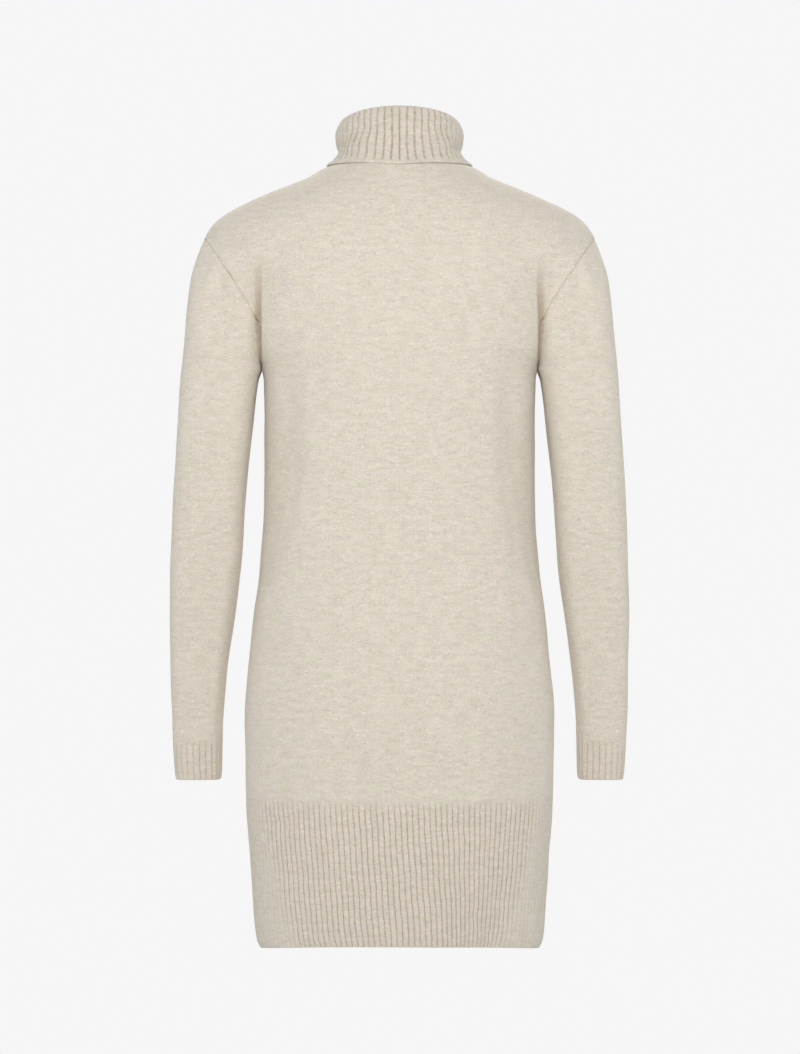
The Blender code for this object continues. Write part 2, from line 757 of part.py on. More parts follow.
def ring_place(angle, ring):
    """Where a point of one of the collar's rings is seen from above, with its side and quarter angle."""
    warped = angle + ring.spread * math.sin(2 * angle) / 2
    side, quarter, _ = rounds(warped)
    depth = ring.back if side == "back" else ring.front
    return ring.half_width * math.sin(warped), depth * math.cos(warped), side, math.cos(quarter)


def roll_point(angle, roll):
    """A point of the collar's showing face on one of its upper rings."""
    x, y, side, tilt = ring_place(angle, roll)
    height = roll.back_height if side == "back" else roll.front_height
    return np.array([x, y, roll.side_height + (height - roll.side_height) * tilt])


def skirt_point(angle, skirt):
    """A point of the collar's showing face on one of its lower rings."""
    x, y, side, tilt = ring_place(angle, skirt)
    lift = skirt.back_lift if side == "back" else skirt.front_lift
    shoulders = surface_height(abs(x), abs(y), side)
    return np.array([x, y, shoulders + skirt.side_lift + (lift - skirt.side_lift) * tilt])


def collar_ring(angle):
    """The collar's showing points at one angle, and where its hidden face meets the neck seam and ends."""
    seam, normal, upward = on_shoulders(angle, NECK_HALF_WIDTH, NECK_BACK, NECK_FRONT)
    seam = seam + SEAM_GAP * upward
    edge, edge_normal, _ = on_shoulders(angle, COLLAR_EDGE_HALF_WIDTH, COLLAR_EDGE_BACK, COLLAR_EDGE_FRONT)
    edge = edge + COLLAR_CLEARANCE * edge_normal
    rings = [roll_point(angle, roll) for roll in ROLL] + [skirt_point(angle, skirt) for skirt in SKIRT]
    return [seam - WALL * normal, *rings, edge + COLLAR_WALL * edge_normal], seam, edge


def collar():
    columns = rib_columns(RIBS_PER_COLLAR, closed=True)
    angles = [2 * math.pi * place / RIBS_PER_COLLAR for place, _ in columns]
    rings = [collar_ring(angle) for angle in angles]
    showing = np.array([ring[0] for ring in rings])
    for i in range(len(angles)):
        start = i - i % POINTS_PER_RIB
        part = columns[i][0] % 1.0
        after = (start + POINTS_PER_RIB) % len(angles)
        showing[i, 0] = (1 - part) * rings[start][0][0] + part * rings[after][0][0]
    round_about = np.roll(showing, -1, axis=0) - np.roll(showing, 1, axis=0)
    along = np.gradient(showing, axis=1)
    normals = unit(np.cross(round_about, along))
    hidden = showing - COLLAR_WALL * normals
    hidden[:, 0] = [ring[1] for ring in rings]
    hidden[:, -1] = [ring[2] for ring in rings]
    levels = np.array([level for _, level in columns])[:, None, None]
    depth = COLLAR_GROOVE * np.array([0.0, *(1.0 for _ in ROLL + SKIRT), COLLAR_EDGE_GROOVE])[None, :, None]
    showing = showing + normals * levels * depth
    hidden = hidden[:: POINTS_PER_RIB * RIBS_PER_COLLAR_BACKING]
    outer, inner = showing.transpose(1, 0, 2), hidden.transpose(1, 0, 2)
    wall = Wall()
    wall.sheet(outer, True, closed=True)
    wall.sheet(inner, False, closed=True)
    wall.edge(outer[0], inner[0], False, closed=True)
    wall.edge(outer[-1], inner[-1], True, closed=True)
    return wall


def other_side(wall):
    """The same wall on the wearer's right."""
    wall.points = [point * np.array([-1.0, 1.0, 1.0]) for point in wall.points]
    wall.faces = [face[::-1] for face in wall.faces]
    return wall


for old in list(bpy.data.objects):
    bpy.data.objects.remove(old, do_unlink=True)
dress = bpy.data.collections.new(COLLECTION)
bpy.context.scene.collection.children.link(dress)
for panel_side in ("back", "front"):
    add_piece(f"body_{panel_side}", body_panel(panel_side), "body", dress)
    add_piece(f"hem_rib_{panel_side}", hem_panel(panel_side), "rib", dress)
add_piece("sleeve_left", sleeve(), "sleeve", dress)
add_piece("sleeve_right", other_side(sleeve()), "sleeve", dress)
add_piece("cuff_left", cuff(), "rib", dress)
add_piece("cuff_right", other_side(cuff()), "rib", dress)
add_piece("collar", collar(), "rib", dress)
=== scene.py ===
"""A roll-neck sweater dress in fine heathered knit, filled out as worn and seen from behind.

Each solid of the frame is replaced by a finer shell on the same sections, with its ribs, seams,
edges and folds. Sizes are in millimetres and heights above the hem until scene_points turns them
into metres. The wearer faces -Y and the wearer's left side is +X.
"""

import math
from collections import namedtuple

import bpy
import numpy as np
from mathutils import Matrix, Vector


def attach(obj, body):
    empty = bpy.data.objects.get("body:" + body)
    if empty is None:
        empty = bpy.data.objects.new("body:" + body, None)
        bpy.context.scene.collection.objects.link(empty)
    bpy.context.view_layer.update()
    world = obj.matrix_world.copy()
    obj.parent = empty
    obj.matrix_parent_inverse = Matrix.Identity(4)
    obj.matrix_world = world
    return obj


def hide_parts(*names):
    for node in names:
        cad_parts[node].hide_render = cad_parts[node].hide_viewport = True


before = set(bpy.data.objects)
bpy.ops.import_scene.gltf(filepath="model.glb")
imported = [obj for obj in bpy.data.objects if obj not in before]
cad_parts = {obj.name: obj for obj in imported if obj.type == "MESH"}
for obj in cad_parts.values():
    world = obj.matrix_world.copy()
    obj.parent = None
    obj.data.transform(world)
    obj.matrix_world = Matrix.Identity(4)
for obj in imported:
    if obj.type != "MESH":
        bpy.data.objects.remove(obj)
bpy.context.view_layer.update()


def table(columns, *rows):
    """Rows with named columns."""
    row_type = namedtuple("Row", columns)
    return [row_type(*row) for row in rows]


METRES = 0.001
OTHER_HAND = np.array([-1.0, 1.0, 1.0])
ORIGIN_HEIGHT = 866.0

# Camera: at the photograph's angle, level, square to the back
CAMERA_DISTANCE = 4.0
CAMERA_X = -0.00055
CAMERA_Z = -0.399
FRAME_HEIGHT = 1.16994  # what the picture's height spans at the body's middle plane
SENSOR = 36.0

# The wall of plain knit. Ribbed walls: their ribs, the columns of points to a rib, their thickness, how
# deep a groove is, how much of it shows inside, and over how many ribs at its ends a wall stops wandering
WALL = 2.0
Ribbing = namedtuple("Ribbing", "ribs columns wall groove inside settles_over")
HEM = Ribbing(72, 8, 2.4, 1.2, 0.5, 2.0)
CUFF = Ribbing(30, 8, 2.4, 0.9, 0.5, 1.0)
COLLAR = Ribbing(52, 10, 2.6, 1.4, 0.4, 1.0)

# Ribs
RIB_PITCH = 6.1
GROOVE_SIDE = 0.19  # of a rib, from the bottom of its groove to its crest
CREST_LINE = 0.1  # the shallow line between a rib's two wales, and how far it spreads
CREST_LINE_OVER = 0.13

# How the ribs wander, in ribs: how far, the height of one wave, and how it shifts from rib to rib
Wander = namedtuple("Wander", "far height shift")
SLOW = Wander(0.05, 61.0, 0.31)
QUICK = Wander(0.03, 23.0, 1.7)
QUICK_TWIST = 1.1

# Heights of the main seams and edges
HEM_BAND_TOP = 172.0
UNDERARM = 643.0
SEAM_LEAVES_CREASE = 684.0
SHOULDER_POINT = 786.0
CAP_BLEND_START = 726.0
CUFF_BOTTOM = 186.0
CUFF_TOP = 230.8
CUFF_TOP_SLANT = 4.8
CUFF_EDGE_IN = 0.8
CUFF_EDGE_HEIGHT = 6.0
SLANT_FADES_OVER = 90.0

# The hem rides up a little over the seat
HEM_RISE = {"back": 12.0, "front": 4.0}
HEM_RISE_FADES_OVER = 120.0
HEM_RISE_POWER = 1.2

# Rings on the shoulders
Ring = namedtuple("Ring", "half_width back front")
NECK = Ring(63.0, 60.0, 70.0)
COLLAR_EDGE = Ring(79.5, 70.0, 85.0)

# How wide the fold down each side is, and over what depth it comes in from the side seam
SIDE_FOLD_HALF_WIDTH = 24.0
SIDE_FOLD_CLEAR = 40.0

# How full the sections of the sleeves and cuffs are, where 2 is an oval
SLEEVE_POWER = 4.0

# Meshes
BODY_COLUMNS = 84  # from the middle line to the seam
SLEEVE_COLUMNS = 96
ROW = 3.0
TIP_ROWS_FROM = 762.0  # rows stand closer in the tip of the sleeve's cap
TIP_ROW = 1.5
RIB_ROW = 3.4
COLLAR_ROWS = 60
YOKE_ROWS = 46
EDGE_POINTS = 6  # across a rounded edge
LINE_POINTS = 700  # of a section, before it is divided evenly
HALVINGS = 34  # of a range of heights, to find where the shoulders are
NUDGE = 0.02  # a small step, to find slopes by
MERGE = 1e-3  # points this close together are one
ON_RIDGE = 1e-6  # points this close to the shoulders' ridge lie on it
KNIT_UV = "Knit"
# The shade attribute carries painted shade: partly the ribs' grooves' colour, and the plain knit's brown in
# the tuck and at the waist's sides
SHADE = "shade"  # the ribs' grooves, or the plain knit's shaded brown
SHARP_ANGLE = math.radians(75)

# The crease above each underarm is soft, but for its foot
CREASE_SOFT = 5.0
CREASE_SOFT_FROM = 656.0
CREASE_REACH = 18.0

# The tuck there: the cloth is drawn in beside the body's edge, full between two heights, and fades
# out to the underarm below and to the top. The body's points stand closer together beside it.
TUCK_X = 151.5
TUCK_EDGE = 1.3
TUCK_WIDTH = 12.0
TUCK_DEPTH = 7.5
TUCK_TOP = 768.0
TUCK_FULL = (690.0, 662.0)
CROWDING = 2.0
CROWDING_IN = 25.0
CROWD_WIDTH = 7.0

# Seams: drawn in along the line, a low ridge on each side, and lost in the crease above the underarm
SEAM_DIP = 0.7
SEAM_WIDTH = 1.8
SEAM_RIDGE = 0.3
SEAM_RIDGE_AT = 4.2
SEAM_LOST_OVER = 20.0
SEAM_SHOWS = (650.0, 664.0)
SLEEVE_MEETS_OVER = 16.0  # both sides of the sleeve's own seam come to one level over this width

# Painted shade in brown: a strip in the tuck, and faintly the waist's sides, from the side fold outwards
STRIP_SOFT = 1.3
STRIP_LOW = (640.0, 656.0)
STRIP_HIGH = (692.0, 768.0)
SIDE_PAINTED_SHADE_EDGE = (-7.0, 0.0)
SIDE_PAINTED_SHADE_LOW = (385.0, 425.0)
SIDE_PAINTED_SHADE_HIGH = (560.0, 605.0)
SIDE_PAINTED_SHADE = 0.19

# The cloth's gentle swells: the size of a wave and its height
Swell = namedtuple("Swell", "seed size height")
SWELLS = {
    "body_back": Swell(3, 90.0, 0.35),
    "body_front": Swell(4, 90.0, 0.35),
    "hem_rib_back": Swell(7, 70.0, 0.4),
    "hem_rib_front": Swell(8, 70.0, 0.4),
    "sleeve_left": Swell(11, 80.0, 0.35),
    "sleeve_right": Swell(12, 80.0, 0.35),
}
WAVES = 7
WAVE_SIZES = (0.6, 1.7)
SWELL_IN = 30.0  # swells and creases come in over this distance from a seam with ribs
HEM_SWELL_IN = 20.0
CREASE_ENDS = 0.7  # the less this is, the blunter a crease's ends

# Collar: its ribs start past the neck seam and end before its edge. They fade at its sides, this far
# above the edge, and are lower over the fold.
COLLAR_RIBS_IN = 6.0
COLLAR_RIBS_OUT = (3.0, 6.5)
COLLAR_SIDES_PLAIN = 0.8
COLLAR_SIDES_OVER = 0.2
COLLAR_PLAIN_AT = 38.0
COLLAR_PLAIN_OVER = 24.0
COLLAR_TOP_PLAIN = 0.55
COLLAR_TOP_OVER = 9.0
COLLAR_CLEARANCE = 0.5
COLLAR_EDGE_WALL = 1.8
COLLAR_THINS_OVER = 8.0

# The band of stitches along its edge
COLLAR_BAND = 0.5
COLLAR_BAND_AT = 1.5
COLLAR_BAND_WIDTH = 1.8
CHAIN_PER_RIB = 3
CHAIN_DEPTH = 0.3

# The hem's ribs flatten out towards the side seams, from these shares of the half panel on
HEM_FLAT_TOP = 0.69
HEM_FLAT_BOTTOM = 0.53
HEM_FLAT_OVER = 0.09
HEM_SIDE_RELIEF = 0.45
HEM_SIDE_SHADE = 0.3

# Grooves and their colour come in over these heights below the seams of hem and cuffs
HEM_GROOVE_IN = 6.0
HEM_SHADE_IN = 15.0
CUFF_GROOVE_IN = 4.0
CUFF_SHADE_IN = 9.0
# Painted shade: the cuff's grooves are darkest on its inner side, by the body, and keep this share on its
# outer side
CUFF_OUTER_SHADE = 0.45

# Knit: a stitch's size across and up
PLAIN_STITCH = (3.0, 2.2)
RIB_STITCH = (RIB_PITCH / 3, 2.0)
STITCH_SLOPE = 0.9
STRAND_RELIEF = 0.35
# Painted shade and light on each stitch: darker where it sinks, lighter where it stands
STITCH_SHADE = 0.02
BUMP_STRENGTH = 0.7
BUMP_DISTANCE = 0.0005

# The nap and soft clouds, from noise
FLUFF = 0.5
FLUFF_SCALE = 900.0
FLUFF_DETAIL = 3.0
FLUFF_ROUGH = 0.6
CLOUD = 0.012
CLOUD_SCALE = 22.0
MOST_NOISE = (0.3, 0.7)  # most of the values that noise has

# Colours: the yarn's two, the plain knit's brown of painted shade, and how much of it shows there at most
LILAC = (0.573, 0.515, 0.462, 1.0)
OLIVE = (0.553, 0.518, 0.434, 1.0)
PAINTED_SHADE_BROWN = (0.35, 0.275, 0.2, 1.0)
PAINTED_SHADE_SHARE = 0.9
ROUGHNESS = (0.86, 0.98)
SURFACE = {
    "Specular IOR Level": 0.15,
    "Sheen Weight": 0.6,
    "Sheen Roughness": 0.55,
    "Sheen Tint": (1.0, 0.93, 0.82, 1.0),
}

# The grooves' colour, partly the purl stitches' own and partly painted shade in the recess, from the middle
# of a groove out to these shares of a rib
Groove = namedtuple("Groove", "start end shade colour")
HEM_LOOK = Groove(0.03, 0.15, 0.9, (0.34, 0.24, 0.18, 1.0))
COLLAR_LOOK = Groove(0.05, 0.2, 0.95, (0.35, 0.285, 0.23, 1.0))
# The collar's yarn is painted darker all over, as painted shade
COLLAR_SHADED_TONE = 0.945

# Patches of noise on the knit: the size of one across and up, where it starts in the noise and is full,
# and how far the noise is shifted, so that no two kinds agree. The yarn's olive places:
Patch = namedtuple("Patch", "across up start full shift")
OLIVE_PATCHES = Patch(17, 10, 0.36, 0.64, 7)

# Where the lines of painted shade between the wales of plain knit show, how dark they are, and from where
WALE_PATCHES = Patch(50, 50, 0.4, 0.6, 71)
WALE_FAINTEST = 0.1
WALE_SHADE = 0.035
WALE_LINE_FROM = 0.45

# Where the grooves' colour shows in full, and what is left of it elsewhere
GROOVE_PATCHES = Patch(4, 3, 0.35, 0.65, 23)
GROOVE_FAINTEST = 0.45

# Flecks of the heathered yarn, with how much lighter or darker they are. Those that start below the
# middle of the noise run from darker to lighter.
FLECK_DETAIL = 1.5
FLECKS = table(
    "across up start full shade shift",
    (15, 5.5, 0.36, 0.64, 0.045, 3),
    (5.8, 2.4, 0.55, 0.72, -0.12, 17),
    (5.2, 2, 0.56, 0.73, 0.15, 41),
    (1.9, 3.2, 0.58, 0.73, 0.12, 53),
    (2.6, 1.7, 0.36, 0.64, 0.045, 61),
)

# Stage: a pale round floor a leg's length below the hem, even light all round and soft lamps
BACKGROUND = (0.921, 0.921, 0.921, 1.0)
AMBIENT = 0.55  # the even light, as a share of the background seen
FLOOR_RADIUS = 3.2
FLOOR_FADES_FROM = 1.6
FLOOR_SIDES = 96
FLOOR_Z = -1.47
FLOOR_COLOUR = (0.85, 0.85, 0.84, 1.0)
FLOOR_ROUGHNESS = 0.9
KEY_COLOUR = (1.0, 0.99, 0.965)
RIM_COLOUR = (0.8, 0.9, 1.0)
LAMPS = table(
    "name place aim size watts colour",
    ("back_left", (0.3, 2.1, 0.25), (0, 0, -0.1), 1.1, 20, KEY_COLOUR),
    ("back_right", (-0.3, 2.1, 0.25), (0, 0, -0.1), 1.1, 20, KEY_COLOUR),
    ("left_rim", (2.2, -0.1, -0.1), (0, 0, -0.45), 1.1, 6, RIM_COLOUR),
    ("right_rim", (-2.2, -0.1, -0.1), (0, 0, -0.45), 1.1, 6, RIM_COLOUR),
    ("front_left", (0.8, -2, 0.3), (0, 0, -0.1), 1.1, 18, KEY_COLOUR),
    ("front_right", (-0.8, -2, 0.3), (0, 0, -0.1), 1.1, 24, KEY_COLOUR),
)

# Half depths of the body's sections and how full they are, where 2 is an oval. All heights are above the
# hem, and all widths are from the body's middle line.
TRUNK = table(
    "height back front power",
    (0, 104, 101, 2.15),
    (9, 106, 103, 2.15),
    (31, 108, 104, 2.15),
    (98, 110, 105, 2.2),
    (172, 113, 106, 2.25),
    (253, 117, 106, 2.3),
    (342, 110, 104, 2.35),
    (430, 99, 102, 2.4),
    (497, 96, 104, 2.45),
    (564, 100, 110, 2.5),
    (643, 107, 117, 2.5),
    (690, 110, 118, 2.4),
    (743, 109, 111, 2.3),
    (786, 103, 98, 2.2),
    (815, 94.5, 84, 2.1),
    (830, 88, 71, 2.1),
    (848, 79, 57, 2.1),
    (864, 69.5, 35, 2.1),
    (876, 58, 15, 2.1),
)
# The side seams, and the ridge of the shoulders
SIDE_SEAM = table(
    "height half_width",
    (0, 154),
    (9, 158),
    (31, 161),
    (98, 165.5),
    (172, 170.3),
    (253, 171.5),
    (342, 164.5),
    (430, 154),
    (497, 150),
    (564, 149.8),
    (630, 150.6),
    (643, 153),
)
RIDGE = table(
    "height half_width",
    (786, 216.3),
    (797, 210.5),
    (808, 200.5),
    (819, 184),
    (830, 161),
    (841, 134),
    (852.5, 104),
    (863.6, 85),
    (869, 72),
    (873, 63),
    (877, 52),
)
# The fold down each side of the waist
SIDE_FOLD = table(
    "height x depth",
    (340, 152, 0),
    (400, 146, 2.5),
    (450, 138, 4.5),
    (500, 128, 6),
    (564, 121, 6),
    (625, 121, 4),
    (684, 124, 0),
)
# Above the underarm: where the crease between body and sleeve lies, how deep the sleeve's section is
# there, and where the armhole seam runs
ARMHOLE = table(
    "height crease crease_depth lobe_depth seam",
    (643, 153, 0, 60, 153),
    (652, 153.8, 34, 60.5, 153.8),
    (666, 155, 49, 61.5, 155),
    (684, 156.5, 55, 63, 156.5),
    (704, 157.6, 59, 64.5, 165),
    (726, 158, 62.5, 66.5, 176.5),
    (748, 158, 67, 69, 190),
    (766, 158, 70, 73, 201.5),
    (778, 158, 73.5, 76, 210.3),
    (786, 158, 75, 78, 216.3),
)
# The strip of painted brown shade in the tuck
STRIP = table(
    "height half_width",
    (643, 3),
    (665, 4.6),
    (690, 6.6),
    (742, 6),
)
# How far the back hem's ribs lean at its bottom edge, by share of the half panel
LEAN = table(
    "share lean",
    (-1, 0),
    (-0.55, -2),
    (-0.38, 4),
    (-0.15, 12.5),
    (0.1, 9),
    (0.4, 5.5),
    (1, 0),
)
# The sleeve's outer and inner edges, its half depth, and how far it leads forward
SLEEVE = table(
    "height outer inner depth lead",
    (186, 250, 198.6, 31, 27),
    (231, 252.3, 197.8, 34, 25),
    (297, 254.2, 193.7, 40, 21),
    (364, 255, 184.8, 45, 16),
    (430, 253.5, 176, 49.5, 11),
    (497, 250.8, 171.5, 53, 6),
    (564, 246.2, 164.8, 56, 2),
    (630, 242, 156.8, 59, 0),
    (643, 240.8, 153, 60, 0),
    (684, 236.8, 153, 63, 0),
    (719, 233.3, 153, 66, 0),
    (743, 230, 153, 68.5, 0),
    (764, 224.5, 153, 73, 0),
    (775, 221, 153, 75, 0),
    (786, 216.3, 153, 78, 0),
)
# Rings of the collar from the neck seam over the fold. Those of the skirt have heights above the
# shoulders.
ROLL = table(
    "half_width back front side_height back_height front_height spread",
    (60, 56.5, 62.5, 893, 896, 862, 0),
    (60.8, 56, 59, 906, 920, 884, -0.02),
    (65.5, 60.5, 63.5, 912.5, 928, 892, -0.03),
    (69.8, 64.8, 68.5, 906.5, 921.5, 885, -0.04),
    (70.8, 67, 72.5, 894, 903, 866, -0.03),
)
SKIRT = table(
    "half_width back front side_height back_height front_height spread",
    (68, 67.8, 77.5, 11.5, 18, 21, 0.29),
    (73, 70, 82, 6, 8, 10.5, 0.18),
)

# How far the ribs at the collar's edge spread towards its sides, and how much as far those at the front
COLLAR_EDGE_SPREAD = 0.1
FRONT_SPREAD = 0.35
SPREAD_POWER = 3


def curve(t, step, start, end, slope_in, slope_out):
    """A cubic from start to end over a step, with the slopes given. t runs from 0 to 1."""
    first = (1 + 2 * t) * (1 - t) ** 2 * start + t * (1 - t) ** 2 * step * slope_in
    return first + (t**2 * (3 - 2 * t) * end - t**2 * (1 - t) * step * slope_out)


def smooth(x, y):
    """A smooth function through points, level past its ends."""
    step = np.diff(x)
    rise = np.diff(y) / step
    slope = np.zeros(len(x))
    before, after = rise[:-1], rise[1:]
    same_way = before * after > 0
    total = np.where(same_way, before + after, 1.0)
    slope[1:-1] = np.where(same_way, 2 * before * after / total, 0.0)
    slope[0], slope[-1] = rise[0], rise[-1]

    def value(place):
        at = np.clip(np.asarray(place, float), x[0], x[-1])
        i = np.clip(np.searchsorted(x, at, side="right") - 1, 0, len(step) - 1)
        return curve((at - x[i]) / step[i], step[i], y[i], y[i + 1], slope[i], slope[i + 1])

    return value


def curves(rows):
    """Smooth functions of a table's first column, one through each of its other columns."""
    x, *others = np.array(rows, float).T
    return [smooth(x, y) for y in others]


back_depth, front_depth, trunk_power = curves(TRUNK)
trunk_depth = {"back": back_depth, "front": front_depth}
(side_seam_x,) = curves(SIDE_SEAM)
side_fold_x, side_fold_depth = curves(SIDE_FOLD)
(ridge_width,) = curves(RIDGE)
crease_x, crease_y, lobe_depth, seam_x = curves(ARMHOLE)
sleeve_outer, sleeve_inner, sleeve_depth, sleeve_lead = curves(SLEEVE)
(strip_width,) = curves(STRIP)
(rib_lean,) = curves(LEAN)


def blend(value, start, end):
    """0 at start, 1 at end, with level ends."""
    t = np.clip((value - start) / (end - start), 0.0, 1.0)
    return t * t * (3 - 2 * t)


def bump(distance, width):
    """1 at no distance, falling softly away past width."""
    return np.exp(-((distance / width) ** 2))


def superellipse(angle, half_width, depth, power):
    """The point of a quarter superellipse, from its middle at 0 to its side at a right angle."""
    sine = np.clip(np.sin(angle), 0.0, 1.0)
    cosine = np.clip(np.cos(angle), 0.0, 1.0)
    return half_width * sine ** (2 / power), depth * cosine ** (2 / power)


def full_oval(angle):
    """Across and deep on a sleeve's section of size 1, from its inner side at 0 to its outer side at pi."""
    across, deep = -np.cos(angle), np.sin(angle)
    return tuple(np.sign(part) * np.abs(part) ** (2 / SLEEVE_POWER) for part in (across, deep))


def unit(vectors):
    return vectors / np.maximum(np.linalg.norm(vectors, axis=-1, keepdims=True), 1e-12)


def lengths(points, axis):
    """Length along a grid's rows or columns from their first point."""
    steps = np.linalg.norm(np.diff(points, axis=axis), axis=-1)
    return np.concatenate([np.zeros_like(np.take(steps, [0], axis)), np.cumsum(steps, axis)], axis)


def normals_of(points):
    """Unit normals of a grid: across its columns, then up its rows."""
    return unit(np.cross(np.gradient(points, axis=1), np.gradient(points, axis=0)))


# Sections of the front and back


def chest_outline(x, height, side):
    power = trunk_power(height)
    share = np.clip(np.abs(x) / sleeve_outer(height), 0.0, 1.0)
    return trunk_depth[side](height) * (1 - share**power) ** (1 / power)


def lobe(height):
    outer = sleeve_outer(height)
    share = np.clip(crease_y(height) / lobe_depth(height), 0.0, 1.0)
    width = (outer - crease_x(height)) / (1 + (1 - share**SLEEVE_POWER) ** (1 / SLEEVE_POWER))
    return outer - width, width


def lobe_point(angle, height, side):
    middle, width = lobe(height)
    across, deep = full_oval(angle)
    x = middle + width * across
    cap = blend(height, CAP_BLEND_START, SHOULDER_POINT)
    return x, (1 - cap) * lobe_depth(height) * deep + cap * chest_outline(x, height, side)


def lobe_angle(x, height):
    middle, width = lobe(height)
    share = np.clip((middle - x) / width, -1.0, 1.0)
    return np.arccos(np.sign(share) * np.abs(share) ** (SLEEVE_POWER / 2))


def side_fold(x, y, height):
    near = 1 - blend(np.abs(x - side_fold_x(height)), 0.0, SIDE_FOLD_HALF_WIDTH)
    return side_fold_depth(height) * near * blend(y, 0.0, SIDE_FOLD_CLEAR)


def along_line(x, y):
    return np.concatenate([[0], np.cumsum(np.hypot(np.diff(x), np.diff(y)))])


def places_at(lengths_along, x, y):
    """Places on a line at lengths along it."""
    so_far = along_line(x, y)
    return np.interp(lengths_along, so_far, x), np.interp(lengths_along, so_far, y)


def armhole_line(height, side):
    """A section from the body's middle line over the soft crease to the sleeve's outer edge.

    Also the length along it to the seam, and its whole length.
    """
    share = np.linspace(0, 1, LINE_POINTS)
    power, depth = trunk_power(height), trunk_depth[side](height)
    width = crease_x(height) / (1 - (crease_y(height) / depth) ** power) ** (1 / power)
    end = math.asin(min((crease_x(height) / width) ** (power / 2), 1.0))
    x, y = superellipse(share * end, width, depth, power)
    cap = blend(height, CAP_BLEND_START, SHOULDER_POINT)
    y = (1 - cap) * y + cap * chest_outline(x, height, side)
    y = y - side_fold(x, y, height)
    crease = along_line(x, y)[-1]
    start = float(lobe_angle(crease_x(height), height))
    more_x, more_y = lobe_point(start + share * (math.pi - start), height, side)
    seam_angle = float(lobe_angle(seam_x(height), height)) if height > SEAM_LEAVES_CREASE else start
    seam = crease + np.interp((seam_angle - start) / (math.pi - start), share, along_line(more_x, more_y))
    x, y = np.concatenate([x, more_x[1:]]), np.concatenate([y, more_y[1:]])
    whole = along_line(x, y)[-1]
    x, y = places_at(np.linspace(0.0, whole, 2 * LINE_POINTS), x, y)
    x, y = soften(x, y, whole / (2 * LINE_POINTS - 1), crease, height)
    return x, y - tuck(x, height), seam, whole


def tuck(x, height):
    """How far the cloth is tucked in: at once beside the body's edge, then less and less."""
    beside = x - TUCK_X
    across = blend(beside, -TUCK_EDGE, TUCK_EDGE) * (1 - blend(beside, TUCK_EDGE / 2, TUCK_WIDTH))
    full, low = TUCK_FULL
    return TUCK_DEPTH * across * (1 - blend(height, full, TUCK_TOP)) * blend(height, UNDERARM, low)


def soften(x, y, step, crease, height):
    """Rounds the crease of a section of evenly spaced points."""
    soft = max(CREASE_SOFT * float(blend(height, UNDERARM, CREASE_SOFT_FROM)), step)
    reach = max(int(3 * soft / step), 1)
    weights = bump(np.arange(-reach, reach + 1) * step, soft)
    weights /= weights.sum()
    share = bump(np.arange(len(x)) * step - crease, CREASE_REACH)
    rounded = [np.convolve(np.pad(part, reach, mode="edge"), weights, "valid") for part in (x, y)]
    return tuple(part + (soft_part - part) * share for part, soft_part in zip((x, y), rounded))


def crowded(x, y, end, count, crowding):
    """Points of a half section, closer together beside the tuck."""
    places = np.linspace(0.0, end, LINE_POINTS)
    beside = places - along_line(x, y)[np.argmax(x >= TUCK_X)]
    filled = np.cumsum(1 + crowding * bump(beside, CROWD_WIDTH))
    return places_at(np.interp(np.linspace(filled[0], filled[-1], count), filled, places), x, y)


def panel_line(height, side, columns):
    """Half a section of the front or back, evenly spaced from the middle line to its seam."""
    if height <= UNDERARM:
        angle = np.linspace(0, math.pi / 2, LINE_POINTS)
        x, y = superellipse(angle, side_seam_x(height), trunk_depth[side](height), trunk_power(height))
        y = y - side_fold(x, y, height)
        seam = along_line(x, y)[-1]
    else:
        x, y, seam, _ = armhole_line(height, side)
    x, y = crowded(x, y, seam, columns, CROWDING * float(blend(height, UNDERARM, UNDERARM + CROWDING_IN)))
    return np.stack([x, np.maximum(y, 0.0), np.full(columns, height)], axis=1)


def shoulder_height(x, depth, back):
    """The height where the shoulders pass through places seen from above."""
    low = np.full(np.shape(x), SHOULDER_POINT - 1.0)
    high = np.full(np.shape(x), RIDGE[-1].height)
    for _ in range(HALVINGS):
        middle = (low + high) / 2
        power = trunk_power(middle)
        deepest = np.where(back, trunk_depth["back"](middle), trunk_depth["front"](middle))
        inside = (x / ridge_width(middle)) ** power + (depth / deepest) ** power < 1
        low, high = np.where(inside, middle, low), np.where(inside, high, middle)
    return (low + high) / 2


def yoke_rows(first, side):
    """Rows from the section at the shoulder point up to the neck ring."""
    power = float(trunk_power(SHOULDER_POINT))
    width, depth = float(ridge_width(SHOULDER_POINT)), float(trunk_depth[side](SHOULDER_POINT))
    across = (first[:, 0] / width) ** (power / 2)
    deep = (first[:, 1] / depth) ** (power / 2)
    start = np.arctan2(across, deep)
    even = np.linspace(0, math.pi / 2, len(first))
    step = np.linspace(0, 1, YOKE_ROWS)[1:, None]
    x, y = superellipse(
        start * (1 - step) + even * step,
        width + step * (NECK.half_width - width),
        depth + step * (getattr(NECK, side) - depth),
        power + step * (2 - power),
    )
    return np.stack([x, y, shoulder_height(x, y, side == "back")], axis=2)


def heights_between(low, high, row):
    return np.linspace(low, high, max(2, round((high - low) / row) + 1))


def heights_from(low):
    """Heights of the sections from a low seam to the shoulder point."""
    parts = (
        (low, UNDERARM, ROW),
        (UNDERARM, SEAM_LEAVES_CREASE, ROW),
        (SEAM_LEAVES_CREASE, TIP_ROWS_FROM, ROW),
        (TIP_ROWS_FROM, SHOULDER_POINT, TIP_ROW),
    )
    return np.concatenate([[low], *(heights_between(*part)[1:] for part in parts)])


def facing(side, points):
    """Points made for the back, turned to the front where the side is the front."""
    return points * np.array([1.0, 1.0 if side == "back" else -1.0, 1.0])


